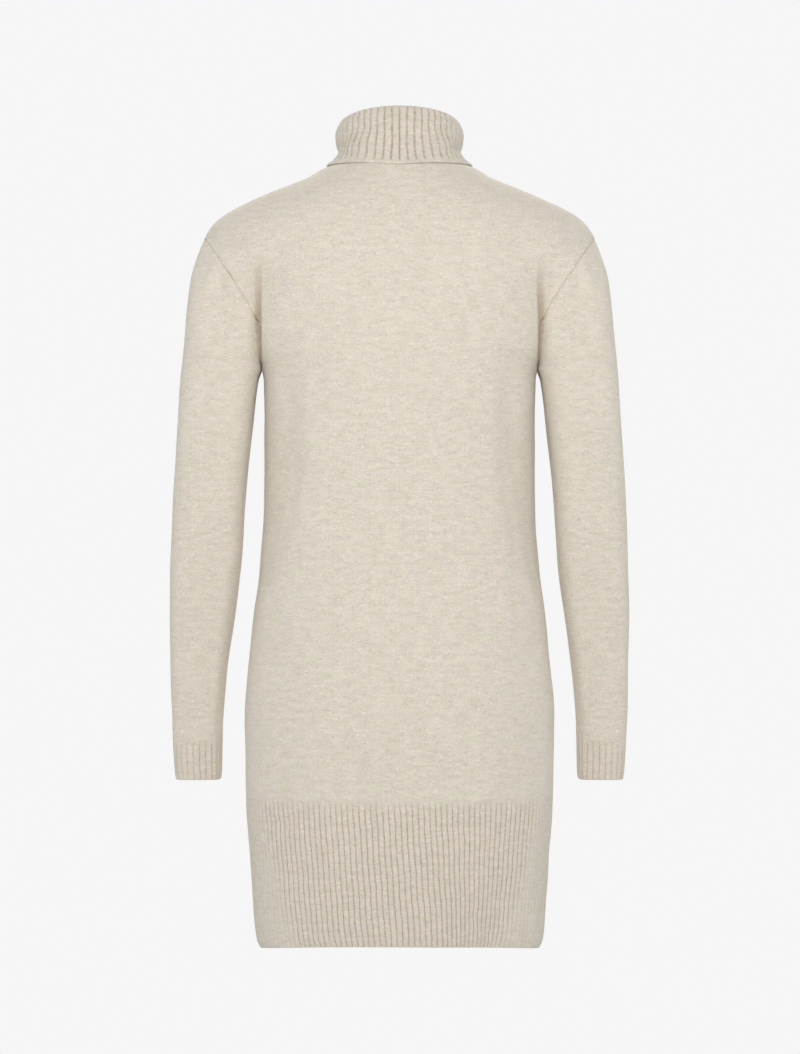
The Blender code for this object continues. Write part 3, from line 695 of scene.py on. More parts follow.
def body_grid(side):
    """Points of a whole panel from its right seam to its left one, and their places in the knit."""
    heights = heights_from(HEM_BAND_TOP)
    lower = np.array([panel_line(float(h), side, BODY_COLUMNS) for h in heights])
    upper = yoke_rows(lower[-1], side)
    along = lengths(lower, 1)
    up = lower[..., 2] - HEM_BAND_TOP
    reach = np.interp(upper[..., 0], lower[-1, :, 0], along[-1])
    from_x = np.interp(upper[..., 0], lower[-1, :, 0], lower[-1, :, 1])
    climb = up[-1, 0] + np.hypot(upper[..., 2] - SHOULDER_POINT, from_x - upper[..., 1])
    points = np.concatenate([lower, upper])
    knit = np.stack([np.concatenate([along, reach]), np.concatenate([up, climb])], axis=2)
    points = np.concatenate([points[:, :0:-1] * OTHER_HAND, points], axis=1)
    knit = np.concatenate([knit[:, :0:-1] * np.array([-1.0, 1.0]), knit], axis=1)
    return facing(side, points), knit


# Folds


# Soft troughs, and ridges where the depth is negative, along paths of places across and above the hem
CREASES = {
    "back": table(
        "depth width path",
        (3, 5.5, ((207, 764), (196, 738), (186, 706), (178, 676))),
        (2.7, 6, ((-206, 762), (-197, 736), (-184, 700), (-178, 668))),
        (1.3, 2.4, ((190, 750), (185, 742), (180, 738))),
        (1.1, 2.6, ((-192, 746), (-187, 738), (-183, 735))),
        (1.2, 15, ((147, 712), (137, 748), (118, 786), (98, 806))),
        (1.1, 16, ((-147, 706), (-139, 742), (-122, 780), (-100, 808))),
        (2.6, 9, ((122, 640), (117, 590), (116, 530), (122, 485), (134, 436), (150, 392))),
        (2.4, 9.5, ((-123, 640), (-118, 584), (-117, 528), (-123, 480), (-136, 430), (-150, 388))),
        (-1.8, 7, ((126, 428), (137, 400), (153, 366))),
        (-1.9, 7, ((-129, 436), (-140, 406), (-155, 366))),
        (2.4, 8, ((192, 470), (200, 400), (209, 318), (213, 262))),
        (2.2, 8.5, ((-191, 452), (-201, 384), (-208, 318), (-213, 250))),
        (0.9, 10, ((233, 560), (238, 490), (240, 420))),
        (0.8, 11, ((-231, 580), (-237, 500), (-241, 430))),
        (1.6, 6, ((-36, 142), (-70, 140), (-104, 145))),
        (1.3, 6, ((112, 150), (128, 142), (146, 148))),
        (2.8, 6, ((-76, 54), (-91, 34), (-104, 15))),
    ),
    "front": table(
        "depth width path",
        (1.2, 14, ((150, 700), (136, 740), (116, 782), (98, 800))),
        (1, 15, ((-148, 708), (-138, 738), (-120, 776), (-96, 802))),
        (2.4, 9.5, ((124, 636), (118, 584), (117, 528), (124, 478), (138, 430), (151, 396))),
        (2.7, 9, ((-122, 644), (-117, 590), (-116, 520), (-122, 486), (-134, 440), (-150, 384))),
        (-1.1, 7, ((128, 430), (138, 404), (153, 372))),
        (-1.2, 7.5, ((-127, 424), (-138, 398), (-154, 364))),
        (1.3, 7, ((206, 740), (194, 706), (184, 668))),
        (1.1, 7.5, ((-205, 746), (-195, 712), (-182, 676))),
        (1.7, 9, ((226, 452), (214, 420), (196, 398))),
        (1.2, 8, ((228, 418), (214, 392), (198, 372))),
        (1.6, 9.5, ((-228, 462), (-212, 430), (-194, 410))),
        (1, 8, ((-226, 420), (-212, 400), (-200, 388))),
        (0.9, 8, ((60, 148), (84, 142), (112, 146))),
        (1, 7, ((92, 46), (104, 26), (120, 4))),
    ),
}


def folds(points, side):
    """How far all the creases of one side of the dress lower the cloth at its points."""
    places = points[..., [0, 2]]
    return sum(trough(places, crease) for crease in CREASES[side])


def trough(places, crease):
    """Depth of a soft trough along a path of (across, height) places, 0 at both ends."""
    path = np.array(crease.path, float)
    total = lengths(path[None], 1)[0]
    best = np.full(places.shape[:-1], np.inf)
    along = np.zeros_like(best)
    for i in range(len(path) - 1):
        a, b = path[i], path[i + 1]
        t = np.clip(((places - a) @ (b - a)) / ((b - a) @ (b - a)), 0.0, 1.0)
        away = np.linalg.norm(places - (a + t[..., None] * (b - a)), axis=-1)
        along = np.where(away < best, total[i] + t * (total[i + 1] - total[i]), along)
        best = np.minimum(best, away)
    share = along / total[-1]
    fade = np.sin(np.pi * np.clip(share, 0, 1)) ** CREASE_ENDS
    return crease.depth * bump(best, crease.width) * fade


def unevenness(places, swell):
    """A gentle swell of the cloth from a few crossing waves."""
    draw = np.random.default_rng(swell.seed)
    total = np.zeros(places.shape[:-1])
    for _ in range(WAVES):
        turn, phase = draw.uniform(0, math.pi), draw.uniform(0, 2 * math.pi)
        wave = swell.size * draw.uniform(*WAVE_SIZES)
        across = places[..., 0] * math.cos(turn) + places[..., 1] * math.sin(turn)
        total += np.sin(2 * math.pi * across / wave + phase)
    return swell.height * total / WAVES**0.5


# Shells


# A closed wall: its outer and inner grids of points, their places in the knit with their shade, its
# closed rims, each plain or round, and the rows whose sides are closed. Round ones are low or high.
Wall = namedtuple("Wall", "outer inner knit rims side_rows", defaults=(slice(None),))
ALL_PLAIN = dict.fromkeys(("low", "high", "left", "right"), "plain")


def scene_points(points):
    return (points - np.array([0.0, 0.0, ORIGIN_HEIGHT])) * METRES


def quads(ids):
    """The four corners of each cell of a grid of indices."""
    cells = (ids[:-1, :-1], ids[:-1, 1:], ids[1:, 1:], ids[1:, :-1])
    return np.stack([cell.ravel() for cell in cells], axis=1)


def round_edge(outer, inner, beyond):
    """Rows of points that round an edge from its outer to its inner border."""
    middle, half = (outer + inner) / 2, (outer - inner) / 2
    radius = np.linalg.norm(half, axis=-1, keepdims=True)
    turns = np.linspace(0, math.pi, EDGE_POINTS)
    return np.array([middle + half * math.cos(t) + beyond * radius * math.sin(t) for t in turns])


def end_cap(column):
    """Cells that close the end of a rounded edge."""
    half = EDGE_POINTS // 2
    return quads(np.array([column[:half], column[: half - 1 : -1]]))


def shell(name, wall, flip):
    """The mesh of a wall. flip turns its faces round, for a grid that runs the other way."""
    rim_at = {"low": 0, "high": -1, "left": (wall.side_rows, 0), "right": (wall.side_rows, -1)}
    rows, columns = wall.outer.shape[:2]
    count = rows * columns
    ids = np.arange(count).reshape(rows, columns)
    points = [wall.outer.reshape(-1, 3), wall.inner.reshape(-1, 3)]
    places = [wall.knit.reshape(-1, 3)] * 2
    faces = [quads(ids), quads(ids + count)[:, ::-1]]
    for rim, shape in wall.rims.items():
        where = rim_at[rim]
        outer, inner = wall.outer[where], wall.inner[where]
        if shape == "round":
            inside = 1 if rim == "low" else -2
            beyond = unit(unit(outer - wall.outer[inside]) + unit(inner - wall.inner[inside]))
            strip = round_edge(outer, inner, beyond)
        else:
            strip = np.array([outer, inner])
        start = sum(len(part) for part in points)
        strip_ids = start + np.arange(strip.shape[0] * strip.shape[1]).reshape(strip.shape[:2])
        points.append(strip.reshape(-1, 3))
        places.append(np.tile(wall.knit[where], (strip.shape[0], 1)))
        cells = quads(strip_ids)
        faces.append(cells if rim in ("high", "left") else cells[:, ::-1])
        if shape == "round" and "left" in wall.rims:
            faces += [end_cap(strip_ids[:, 0])[:, ::-1], end_cap(strip_ids[:, -1])]
    points, places, faces = np.concatenate(points), np.concatenate(places), np.concatenate(faces)
    return mesh_of(name, points, places, faces[:, ::-1] if flip else faces)


def mesh_of(name, points, places, faces):
    """A mesh with points that fall together joined, and cells that close up made triangles or left out."""
    keys = np.round(points / MERGE).astype(np.int64)
    _, first, merged = np.unique(keys, axis=0, return_index=True, return_inverse=True)
    merged = merged.ravel()
    corners = merged[faces]
    keep = corners != np.roll(corners, 1, axis=1)
    keep &= ~((corners == np.roll(corners, 2, axis=1)) & (np.arange(4) >= 2))
    size = keep.sum(axis=1)
    real = size >= 3
    keep, faces, corners, size = keep[real], faces[real], corners[real], size[real]
    mesh = bpy.data.meshes.new(name)
    mesh.vertices.add(len(first))
    mesh.vertices.foreach_set("co", scene_points(points[first]).astype(np.float32).ravel())
    mesh.loops.add(int(size.sum()))
    mesh.loops.foreach_set("vertex_index", corners[keep].astype(np.int32))
    mesh.polygons.add(len(size))
    starts = np.concatenate([[0], np.cumsum(size)[:-1]])
    mesh.polygons.foreach_set("loop_start", starts.astype(np.int32))
    mesh.update(calc_edges=True)
    layer = mesh.uv_layers.new(name=KNIT_UV)
    layer.data.foreach_set("uv", (places[faces[keep]][:, :2] * METRES).astype(np.float32).ravel())
    shades = mesh.attributes.new(SHADE, "FLOAT", "POINT")
    shades.data.foreach_set("value", places[first, 2].astype(np.float32))
    mesh.validate()
    mesh.shade_smooth()
    mesh.set_sharp_from_angle(angle=SHARP_ANGLE)
    return mesh


# Front and back


def seam_line(away):
    """Profile across a seam: drawn in along it, with a low ridge on each side."""
    return SEAM_RIDGE * bump(away - SEAM_RIDGE_AT, SEAM_WIDTH) - SEAM_DIP * bump(away, SEAM_WIDTH)


def painted_shade_strip(x, height):
    """Where the tuck above the underarm gets painted brown shade: a strip beside the body's edge, narrow at
    its foot.
    """
    beside = x - TUCK_X
    past = blend(beside - strip_width(height), -STRIP_SOFT, STRIP_SOFT)
    across = blend(beside, -TUCK_EDGE, TUCK_EDGE) * (1 - past)
    return across * blend(height, *STRIP_LOW) * (1 - blend(height, *STRIP_HIGH))


def painted_shade(points):
    """How much painted brown shade shows: in the tucks beside the underarms, and at the waist's sides."""
    x, height = np.abs(points[..., 0]), points[..., 2]
    beside = blend(x - side_fold_x(height), *SIDE_PAINTED_SHADE_EDGE)
    beside = beside * blend(height, *SIDE_PAINTED_SHADE_LOW) * (1 - blend(height, *SIDE_PAINTED_SHADE_HIGH))
    return np.maximum(painted_shade_strip(x, height), SIDE_PAINTED_SHADE * beside)


def knit_grid(across, up, shade):
    """Places in the knit and the shade there, for each point of a wall."""
    return np.stack(np.broadcast_arrays(across, up, shade), axis=2)


def seam_shows(height):
    """The seam is lost where it runs in the crease above the underarm."""
    return 1 - blend(height, UNDERARM - SEAM_LOST_OVER, UNDERARM) * (1 - blend(height, *SEAM_SHOWS))


def body_shell(side):
    points, knit = body_grid(side)
    normals = normals_of(points) * (-1 if side == "back" else 1)
    raised = unevenness(points[..., [0, 2]], SWELLS[f"body_{side}"]) - folds(points, side)
    raised *= blend(knit[..., 1], 0.0, SWELL_IN)
    from_right, up = lengths(points, 1), lengths(points, 0)
    to_seam = np.minimum(from_right, from_right[:, -1:] - from_right)
    line = np.minimum(seam_line(to_seam) * seam_shows(points[..., 2]), seam_line(up[-1:] - up))
    base = points + normals * raised[..., None]
    outer, inner = base + normals * line[..., None], base - normals * WALL
    on_ridge = np.abs(points[:, [0, -1], 1]) < ON_RIDGE
    for grid in (outer, inner):
        grid[:, [0, -1], 1] = np.where(on_ridge, 0.0, grid[:, [0, -1], 1])
    # Painted brown shade in the tuck and at the waist's sides
    return Wall(outer, inner, knit_grid(knit[..., 0], knit[..., 1], painted_shade(points)), ALL_PLAIN)


# Ribs


def rib_places(ribbing):
    """Places in ribs of the columns of a ribbed wall's points."""
    return np.arange(ribbing.ribs * ribbing.columns + 1) / ribbing.columns


def rib_level(place):
    """Height of a rib's face across its width: 0 on its two wales, -1 at the bottom of its groove."""
    part = place % 1.0
    to_groove = np.minimum(part, 1 - part)
    line = CREST_LINE * (1 - blend(np.abs(part - 0.5), 0.0, CREST_LINE_OVER))
    return blend(to_groove, 0.0, GROOVE_SIDE) - 1 - line


def wandering(places, height, ribbing):
    """Places in ribs that wander with height, and settle at both ends of their run."""
    slow = np.sin(2 * math.pi * height / SLOW.height + SLOW.shift * places)
    twist = QUICK.shift * places + QUICK_TWIST * np.sin(places)
    wave = SLOW.far * slow + QUICK.far * np.sin(2 * math.pi * height / QUICK.height + twist)
    return places + wave * blend(np.minimum(places, places[-1] - places), 0.0, ribbing.settles_over)


def hem_row(height, side, shares):
    """Points of the hem band at one height. shares run from -1 on the wearer's right to 1 on the left."""
    angles = np.linspace(0, math.pi / 2, LINE_POINTS)
    depth = float(trunk_depth[side](height))
    x, y = superellipse(angles, side_seam_x(height), depth, trunk_power(height))
    whole = along_line(x, y)[-1]
    if side == "back":
        shares = shares - rib_lean(shares) * (1 - height / HEM_BAND_TOP) / whole
    x, y = places_at(np.abs(shares) * whole, x, y)
    lift = HEM_RISE[side] * (1 - blend(height, 0, HEM_RISE_FADES_OVER))
    level = height + lift * (y / depth) ** HEM_RISE_POWER
    return np.stack([np.copysign(x, shares), y, level], axis=1)


def hem_shell(side):
    heights = heights_between(HEM.wall / 2, HEM_BAND_TOP, RIB_ROW)
    places = rib_places(HEM)
    shares = 2 * places / HEM.ribs - 1
    points = facing(side, np.array([hem_row(float(h), side, shares) for h in heights]))
    normals = normals_of(points) * (-1 if side == "back" else 1)
    up = heights[:, None]
    from_top = HEM_BAND_TOP - up
    places = wandering(places, up, HEM)
    edge = HEM_FLAT_TOP + (HEM_FLAT_BOTTOM - HEM_FLAT_TOP) * from_top / HEM_BAND_TOP
    flat = blend(np.abs(shares), edge, edge + HEM_FLAT_OVER)
    # The grooves' colour, partly painted shade, fades at the flat sides and comes in below the seam
    shade = (1 - (1 - HEM_SIDE_SHADE) * flat) * blend(from_top, 0.0, HEM_SHADE_IN)
    level = rib_level(places) * (1 - (1 - HEM_SIDE_RELIEF) * flat) * blend(from_top, 0.0, HEM_GROOVE_IN)
    swell = unevenness(points[..., [0, 2]], SWELLS[f"hem_rib_{side}"]) - folds(points, side)
    swell = swell * blend(from_top, 0.0, HEM_SWELL_IN)
    outer, inner = rib_walls(points, normals, swell, level, HEM)
    for grid in (outer, inner):
        grid[:, [0, -1], 1] = 0.0
    return Wall(outer, inner, knit_grid(places * RIB_PITCH, up, shade), {**ALL_PLAIN, "low": "round"})


def rib_walls(points, normals, swell, level, ribbing):
    """A rib's groove outside stands as a low ridge inside."""
    outer = points + normals * (swell + level * ribbing.groove)[..., None]
    inner_level = ribbing.inside * level * ribbing.groove
    return outer, points + normals * (swell - ribbing.wall + inner_level)[..., None]


# Sleeves and cuffs, made on the wearer's left


def sleeve_ring(height, shares, slant):
    """Places on the section of the sleeve at a height, from its inner side round by the back."""
    angles = np.linspace(0, 2 * math.pi, LINE_POINTS)
    across, deep = full_oval(angles)
    outer, inner = float(sleeve_outer(height)), float(sleeve_inner(height))
    x = (outer + inner) / 2 + (outer - inner) / 2 * across
    y = float(sleeve_depth(height)) * deep
    so_far = along_line(x, y)
    at = shares * so_far[-1]
    level = height + CUFF_TOP_SLANT * np.cos(np.interp(at, so_far, angles)) * slant
    x, y = places_at(at, x, y)
    return np.stack([x, y - float(sleeve_lead(height)), level], axis=1)


def sleeve_part(height, side, count):
    """The part of a section above the underarm from the armhole seam to the sleeve's outer edge."""
    x, y, seam, whole = armhole_line(height, side)
    return places_at(np.linspace(seam, whole, count), x, y)


def sleeve_row(height, shares):
    if height <= UNDERARM:
        return sleeve_ring(height, shares, 1 - blend(height, CUFF_TOP, CUFF_TOP + SLANT_FADES_OVER))
    half = len(shares) // 2
    x, y = sleeve_part(height, "back", half + 1)
    front_x, front_y = sleeve_part(height, "front", half + 1)
    x = np.concatenate([x, front_x[-2::-1]])
    y = np.concatenate([y, -front_y[-2::-1]])
    return np.stack([x, y, np.full(len(x), height)], axis=1)


def sleeve_normals(points, closed):
    """Unit normals of the sleeve. Its tube is closed along the rows given, and level at its top."""
    normals = normals_of(points)
    around = unit(points[:, 1] - points[:, -2])
    up = np.gradient(points[:, 0], axis=0)
    normals[closed, 0] = normals[closed, -1] = unit(np.cross(around, up))[closed]
    normals = -normals
    normals[-2:] = normals[-3, SLEEVE_COLUMNS // 2]
    return normals


def sleeve_shell(hand):
    heights = heights_from(CUFF_TOP)
    shares = np.linspace(0, 1, SLEEVE_COLUMNS + 1)
    points = np.array([sleeve_row(float(h), shares) for h in heights])
    closed = heights <= UNDERARM + MERGE
    normals = sleeve_normals(points, closed)
    along = lengths(points, 1)
    across, up = along - along[:, [SLEEVE_COLUMNS // 2]], points[..., 2] - CUFF_TOP
    raised = unevenness(np.stack([across, up], axis=2), SWELLS[f"sleeve_{hand}"])
    turned = points * OTHER_HAND if hand == "right" else points
    at_back = points[..., 1] > -sleeve_lead(points[..., 2])
    raised -= np.where(at_back, folds(turned, "back"), folds(turned, "front"))
    edge = np.minimum(along, along[:, -1:] - along)
    meets = 1 - blend(edge, 0.0, SLEEVE_MEETS_OVER)
    apart = (raised[:, -1:] - raised[:, :1]) / 2 * np.sign(across)
    raised = np.where(closed[:, None], raised - apart * meets, raised * (1 - meets))
    base = points + normals * (raised * blend(up, 0.0, SWELL_IN))[..., None]
    line = seam_line(edge) * seam_shows(points[..., 2])
    outer, inner = base + normals * line[..., None], base - normals * WALL
    for grid in (outer, inner):
        grid[closed, -1] = grid[closed, 0]
    # Painted brown shade in the tuck above the underarm
    knit = knit_grid(across, up, painted_shade_strip(points[..., 0], points[..., 2]))
    rims = dict.fromkeys(("low", "left", "right"), "plain")
    return Wall(outer, inner, knit, rims, slice(int(closed.sum()) - 1, None))


def closed_normals(points):
    """Unit normals of a grid whose last column is its first."""
    wrapped = np.concatenate([points[:, -2:-1], points, points[:, 1:2]], axis=1)
    return normals_of(wrapped)[:, 1:-1]


def cuff_shell():
    heights = heights_between(CUFF.wall / 2, CUFF_TOP - CUFF_BOTTOM, RIB_ROW)
    places = rib_places(CUFF)
    points = np.array(
        [
            sleeve_ring(CUFF_BOTTOM + rise * (CUFF_TOP - CUFF_BOTTOM), places / CUFF.ribs, rise)
            for rise in heights / heights[-1]
        ]
    )
    normals = -closed_normals(points)
    up = heights[:, None]
    from_top = heights[-1] - up
    # Painted shade: darker grooves on the cuff's inner side, by the body
    inner_side = (1 + np.cos(2 * math.pi * places / CUFF.ribs)) / 2
    shade = (CUFF_OUTER_SHADE + (1 - CUFF_OUTER_SHADE) * inner_side) * blend(from_top, 0.0, CUFF_SHADE_IN)
    places = wandering(places, up, CUFF)
    level = rib_level(places) * blend(from_top, 0.0, CUFF_GROOVE_IN)
    drawn = -CUFF_EDGE_IN * bump(up, CUFF_EDGE_HEIGHT) + np.zeros(level.shape)
    outer, inner = rib_walls(points, normals, drawn, level, CUFF)
    knit = knit_grid(places * RIB_PITCH, up, shade)
    return Wall(outer, inner, knit, {"low": "round", "high": "plain"})


# Collar


def rounds(angle):
    """Whether an angle round the neck is at the back, its turn from the middle line, and its hand."""
    turn = np.arctan2(np.sin(angle), np.cos(angle))
    back = np.abs(turn) <= math.pi / 2
    return back, np.where(back, np.abs(turn), math.pi - np.abs(turn)), np.where(turn < 0, -1.0, 1.0)


def on_shoulders(angle, half_width, deep_back, deep_front):
    """Points of the body on an oval round the neck, and the body's normals there."""
    back, quarter, hand = rounds(angle)
    depth = np.where(back, deep_back, deep_front)

    def at(turn, scale):
        x = np.maximum(half_width * scale * np.sin(turn), 0.0)
        y = np.maximum(depth * scale * np.cos(turn), 0.0)
        return np.stack([x, y, shoulder_height(x, y, back)], axis=1)

    point = at(quarter, 1.0)
    upward = unit(at(quarter, 1 - NUDGE) - point)
    around = at(np.minimum(quarter + NUDGE, math.pi / 2), 1.0) - at(np.maximum(quarter - NUDGE, 0.0), 1.0)
    normal = unit(np.cross(upward, around))
    turn = np.stack([hand, np.where(back, 1.0, -1.0), np.ones(len(angle))], axis=1)
    return point * turn, normal * turn


def spread_out(angle, spread):
    """Angles moved towards the sides, most at half a right angle."""
    wave = np.sin(2 * angle)
    spread = spread * np.where(np.cos(angle) > 0, 1.0, FRONT_SPREAD)
    return angle + spread * wave * np.abs(wave) ** SPREAD_POWER / 2


def collar_ring(angle, ring):
    """A ring of the roll, or one of the skirt, whose heights are above the shoulders."""
    warped = spread_out(angle, ring.spread)
    back, quarter, _ = rounds(warped)
    x, y = ring.half_width * np.sin(warped), np.where(back, ring.back, ring.front) * np.cos(warped)
    base = shoulder_height(np.abs(x), np.abs(y), back) if ring in SKIRT else 0.0
    height = np.where(back, ring.back_height, ring.front_height)
    level = base + ring.side_height + (height - ring.side_height) * np.cos(quarter)
    return np.stack([x, y, level], axis=1)


def through(rings, rows):
    """Smooth rows through rings of points, evenly spaced along the middle of the rings."""
    rings = np.array(rings)
    steps = np.linalg.norm(np.diff(rings, axis=0), axis=2).mean(axis=1)
    at = np.concatenate([[0], np.cumsum(steps)])
    slope = np.diff(rings, axis=0) / steps[:, None, None]
    before, after = steps[:-1, None, None], steps[1:, None, None]
    inner = (slope[:-1] * after + slope[1:] * before) / (before + after)
    tangent = np.concatenate([slope[:1], inner, slope[-1:]])
    place = np.linspace(0, at[-1], rows)
    i = np.clip(np.searchsorted(at, place, side="right") - 1, 0, len(steps) - 1)
    t = ((place - at[i]) / steps[i])[:, None, None]
    step = steps[i][:, None, None]
    return curve(t, step, rings[i], rings[i + 1], tangent[i], tangent[i + 1]), place


def collar_shell():
    places = rib_places(COLLAR)
    angle = 2 * math.pi * places / COLLAR.ribs
    seam, normal = on_shoulders(angle, *NECK)
    edge, edge_normal = on_shoulders(spread_out(angle, COLLAR_EDGE_SPREAD), *COLLAR_EDGE)
    edge = edge + COLLAR_CLEARANCE * edge_normal
    rings = [collar_ring(angle, ring) for ring in ROLL + SKIRT]
    rings = [seam - WALL * normal, *rings, edge + COLLAR_EDGE_WALL * edge_normal]
    points, along = through(rings, COLLAR_ROWS)
    normals = closed_normals(points)
    fold = along[np.argmax(points[..., 2].mean(axis=1))]
    along = along[:, None]
    to_edge = along[-1] - along
    shows = blend(along, 0.0, COLLAR_RIBS_IN) * blend(to_edge, *COLLAR_RIBS_OUT)
    at_sides = bump(np.abs(np.sin(angle)) - 1, COLLAR_SIDES_OVER)
    shows = shows * (1 - COLLAR_SIDES_PLAIN * at_sides * bump(to_edge - COLLAR_PLAIN_AT, COLLAR_PLAIN_OVER))
    chain = 1 + CHAIN_DEPTH * np.cos(2 * math.pi * places * CHAIN_PER_RIB)
    places = wandering(places, along, COLLAR)
    level = rib_level(places) * shows * (1 - COLLAR_TOP_PLAIN * bump(along - fold, COLLAR_TOP_OVER))
    band = COLLAR_BAND * bump(to_edge - COLLAR_BAND_AT, COLLAR_BAND_WIDTH) * chain
    outer = points + normals * (level * COLLAR.groove + band)[..., None]
    wall = COLLAR.wall + (COLLAR_EDGE_WALL - COLLAR.wall) * (1 - blend(to_edge, 0.0, COLLAR_THINS_OVER))
    inner = points - normals * (wall - COLLAR.inside * level * COLLAR.groove)[..., None]
    inner[0], inner[-1] = seam, edge
    # The grooves' colour, partly painted shade, shows where the ribs do
    return Wall(outer, inner, knit_grid(places * RIB_PITCH, along, shows), {"low": "plain", "high": "round"})


# Materials


class Nodes:
    """Short calls for the nodes of a material or the world."""

    def __init__(self, owner):
        owner.use_nodes = True
        self.tree = owner.node_tree

    def fill(self, node, sockets):
        """Links other nodes' results to a node's sockets, or sets these to plain values."""
        for socket, value in sockets.items():
            if isinstance(value, bpy.types.NodeSocket):
                self.tree.links.new(value, node.inputs[socket])
            else:
                node.inputs[socket].default_value = value

    def result(self, kind, sockets=None, output=0, **settings):
        """The result of a new node."""
        node = self.tree.nodes.new(f"ShaderNode{kind}")
        for name, value in settings.items():
            setattr(node, name, value)
        self.fill(node, sockets or {})
        return node.outputs[output]

    def math(self, kind, *values):
        return self.result("Math", dict(enumerate(values)), operation=kind)

    def add(self, a, b):
        return self.math("ADD", a, b)

    def times(self, a, b):
        return self.math("MULTIPLY", a, b)

    def knit_place(self):
        place = self.result("UVMap", uv_map=KNIT_UV)
        return [self.result("SeparateXYZ", {0: place}, part) for part in ("X", "Y")]

    def object_place(self):
        return self.result("TexCoord", output="Object")

    def noise(self, place, scale, detail=2.0, roughness=0.5):
        sockets = {"Vector": place, "Scale": scale, "Detail": detail, "Roughness": roughness}
        return self.result("TexNoise", sockets)

    def ranged(self, value, start, end, low, high):
        """From low at start to high at end, and level past them."""
        return self.result("MapRange", dict(enumerate((value, start, end, low, high))))

    def patches(self, knit, patch, low, high, detail=2.0):
        """Noise in patches on the knit, from low where they start to high where they are full."""
        across = self.math("DIVIDE", knit[0], patch.across * METRES)
        up = self.math("DIVIDE", knit[1], patch.up * METRES)
        place = self.result("CombineXYZ", {0: across, 1: up, 2: patch.shift})
        return self.ranged(self.noise(place, 1.0, detail), patch.start, patch.full, low, high)

    def mix(self, share, a, b):
        return self.result("Mix", {0: share, 6: a, 7: b}, 2, data_type="RGBA")


def stitches(n, knit, size):
    """How high each stitch stands, and how far a place is from the middle of its wale, up to 1."""
    across, up = (n.math("DIVIDE", place, part * METRES) for place, part in zip(knit, size))
    leg = n.times(n.math("ABSOLUTE", n.math("SUBTRACT", n.math("FRACT", across), 0.5)), 2.0)
    slope = n.add(up, n.times(leg, STITCH_SLOPE))
    strand = n.math("COSINE", n.times(slope, 2 * math.pi))
    fullness = n.math("SINE", n.times(leg, math.pi))
    strands = n.add(n.times(strand, STRAND_RELIEF), 1 - STRAND_RELIEF)
    return n.times(strands, fullness), leg


def flecked(n, knit, tone):
    """The yarn's tone with its flecks."""
    for fleck in FLECKS:
        low = -fleck.shade if fleck.start < 0.5 else 0.0
        tone = n.add(tone, n.patches(knit, fleck, low, fleck.shade, FLECK_DETAIL))
    return tone


def wale_lines(n, knit, leg):
    """Fine lines of painted shade between the wales, which come and go."""
    line = n.ranged(leg, WALE_LINE_FROM, 1.0, 0.0, -WALE_SHADE)
    return n.times(line, n.patches(knit, WALE_PATCHES, WALE_FAINTEST, 1.0))


def groove_colour(n, knit, look):
    """How much of the grooves' colour, partly painted shade, a place between ribs has."""
    part = n.math("FRACT", n.math("DIVIDE", knit[0], RIB_PITCH * METRES))
    to_groove = n.math("MINIMUM", part, n.math("SUBTRACT", 1.0, part))
    groove = n.ranged(to_groove, look.start, look.end, look.shade, 0.0)
    return n.times(groove, n.patches(knit, GROOVE_PATCHES, GROOVE_FAINTEST, 1.0))


def knit_material(name, groove_look=None, tone=1.0):
    """Heathered yarn in stitches: plain knit, or two wales to a rib with a groove between ribs.
    A tone below 1 darkens it all, as painted shade.
    """
    material = bpy.data.materials.new(name)
    n = Nodes(material)
    knit = n.knit_place()
    stitch, leg = stitches(n, knit, RIB_STITCH if groove_look else PLAIN_STITCH)
    fluff = n.noise(n.object_place(), FLUFF_SCALE, FLUFF_DETAIL, FLUFF_ROUGH)
    tone = flecked(n, knit, tone)
    if groove_look:
        # Ribs: the grooves' colour, partly painted shade
        brown, share = groove_look.colour, groove_colour(n, knit, groove_look)
    else:
        # Plain knit: painted brown shade where the shade attribute says
        brown, share = PAINTED_SHADE_BROWN, PAINTED_SHADE_SHARE
        # Painted shade between the wales
        tone = n.add(tone, wale_lines(n, knit, leg))
    cloud = n.noise(n.object_place(), CLOUD_SCALE)
    tone = n.add(tone, n.ranged(cloud, *MOST_NOISE, -CLOUD, CLOUD))
    # Painted shade and light that follow each stitch's height
    tone = n.add(tone, n.ranged(stitch, 0.0, 1.0, -STITCH_SHADE, STITCH_SHADE))
    colour = n.mix(n.patches(knit, OLIVE_PATCHES, 0.0, 1.0), LILAC, OLIVE)
    shade = n.result("Attribute", output="Fac", attribute_name=SHADE)
    colour = n.mix(n.times(share, shade), colour, brown)
    height = n.add(stitch, n.times(fluff, FLUFF))
    bumps = {"Strength": BUMP_STRENGTH, "Distance": BUMP_DISTANCE, "Height": height}
    looks = {
        "Base Color": n.result("VectorMath", {0: colour, "Scale": tone}, operation="SCALE"),
        "Roughness": n.ranged(fluff, *MOST_NOISE, *ROUGHNESS),
        "Normal": n.result("Bump", bumps),
    }
    n.fill(n.tree.nodes["Principled BSDF"], {**looks, **SURFACE})
    return material


# Pieces


# A piece's cut size in metres, its area, whether it is held, and what it hangs from. No piece here is given
# one.
Cut = namedtuple("Cut", "width length area held hangs_from")


def mirrored(wall):
    return wall._replace(outer=wall.outer * OTHER_HAND, inner=wall.inner * OTHER_HAND)


def new_object(name, data):
    made = bpy.data.objects.new(name, data)
    bpy.context.scene.collection.objects.link(made)
    return made


def add_piece(name, wall, flip, material, node):
    mesh = shell(name, wall, flip)
    mesh.materials.append(material)
    piece = new_object(name, mesh)
    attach(piece, "root")
    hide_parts(node)


plain = knit_material("plain_knit_look")
ribbed = knit_material("rib_knit_look", HEM_LOOK)
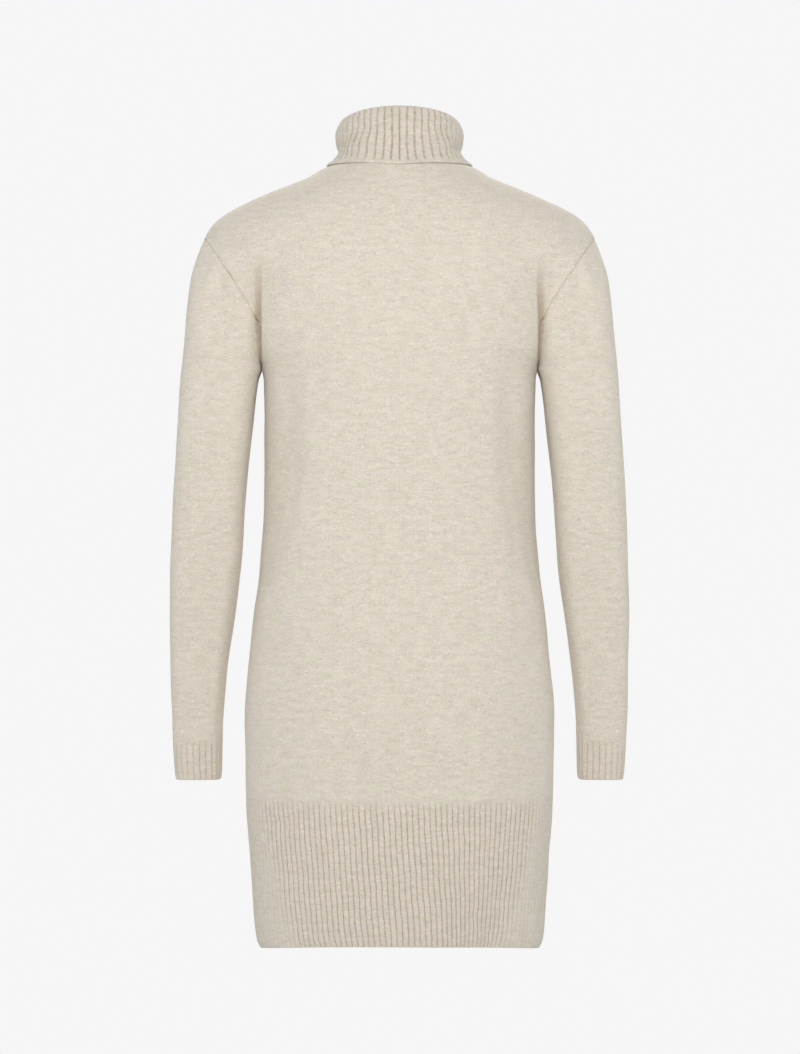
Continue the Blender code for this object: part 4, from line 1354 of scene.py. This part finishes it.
# The collar's ribbed look, painted darker all over as shade
collar_ribbed = knit_material("collar_rib_look", COLLAR_LOOK, COLLAR_SHADED_TONE)
for side in ("back", "front"):
    flip = side == "back"
    add_piece(f"{side}_knit", body_shell(side), flip, plain, f"body_{side}")
    add_piece(f"hem_band_{side}", hem_shell(side), flip, ribbed, f"hem_rib_{side}")
for hand in ("left", "right"):
    sleeve, cuff = sleeve_shell(hand), cuff_shell()
    if hand == "right":
        sleeve, cuff = mirrored(sleeve), mirrored(cuff)
    flip = hand == "left"
    add_piece(f"sleeve_{hand}_knit", sleeve, flip, plain, f"sleeve_{hand}")
    add_piece(f"cuff_{hand}_rib", cuff, flip, ribbed, f"cuff_{hand}")
add_piece("roll_collar", collar_shell(), False, collar_ribbed, "collar")

# Stage

world = bpy.data.worlds.new("studio")
n = Nodes(world)
light = n.ranged(n.result("LightPath", output="Is Camera Ray"), 0.0, 1.0, AMBIENT, 1.0)
n.fill(n.tree.nodes["Background"], {"Color": BACKGROUND, "Strength": light})
bpy.context.scene.world = world
bpy.context.scene.view_settings.view_transform = "Standard"


def floor_material():
    """Pale and matt, fading out towards the floor's rim."""
    material = bpy.data.materials.new("floor")
    n = Nodes(material)
    away = n.result("VectorMath", {0: n.object_place()}, "Value", operation="LENGTH")
    looks = {
        "Base Color": FLOOR_COLOUR,
        "Roughness": FLOOR_ROUGHNESS,
        "Alpha": n.ranged(away, FLOOR_FADES_FROM, FLOOR_RADIUS, 1.0, 0.0),
    }
    n.fill(n.tree.nodes["Principled BSDF"], looks)
    return material


def add_floor():
    turns = [2 * math.pi * i / FLOOR_SIDES for i in range(FLOOR_SIDES)]
    corners = [(FLOOR_RADIUS * math.cos(t), FLOOR_RADIUS * math.sin(t), 0.0) for t in turns]
    mesh = bpy.data.meshes.new("floor")
    mesh.from_pydata(corners, [], [range(FLOOR_SIDES)])
    mesh.materials.append(floor_material())
    made = new_object("floor", mesh)
    made.location.z = FLOOR_Z
    return made


add_floor()


def add_lamp(lamp):
    light = bpy.data.lights.new(lamp.name, "AREA")
    light.shape = "SQUARE"
    light.size = lamp.size
    light.energy = lamp.watts
    light.color = lamp.colour
    made = new_object(lamp.name, light)
    made.location = lamp.place
    made.rotation_mode = "QUATERNION"
    made.rotation_quaternion = (Vector(lamp.aim) - Vector(lamp.place)).to_track_quat("-Z", "Y")
    made.visible_camera = False


for studio_lamp in LAMPS:
    add_lamp(studio_lamp)

camera = new_object("camera", bpy.data.cameras.new("camera"))
camera.data.sensor_width = SENSOR
camera.data.lens = CAMERA_DISTANCE * SENSOR / FRAME_HEIGHT
camera.location = (CAMERA_X, CAMERA_DISTANCE, CAMERA_Z)
camera.rotation_euler = (math.pi / 2, 0.0, math.pi)
bpy.context.scene.camera = camera
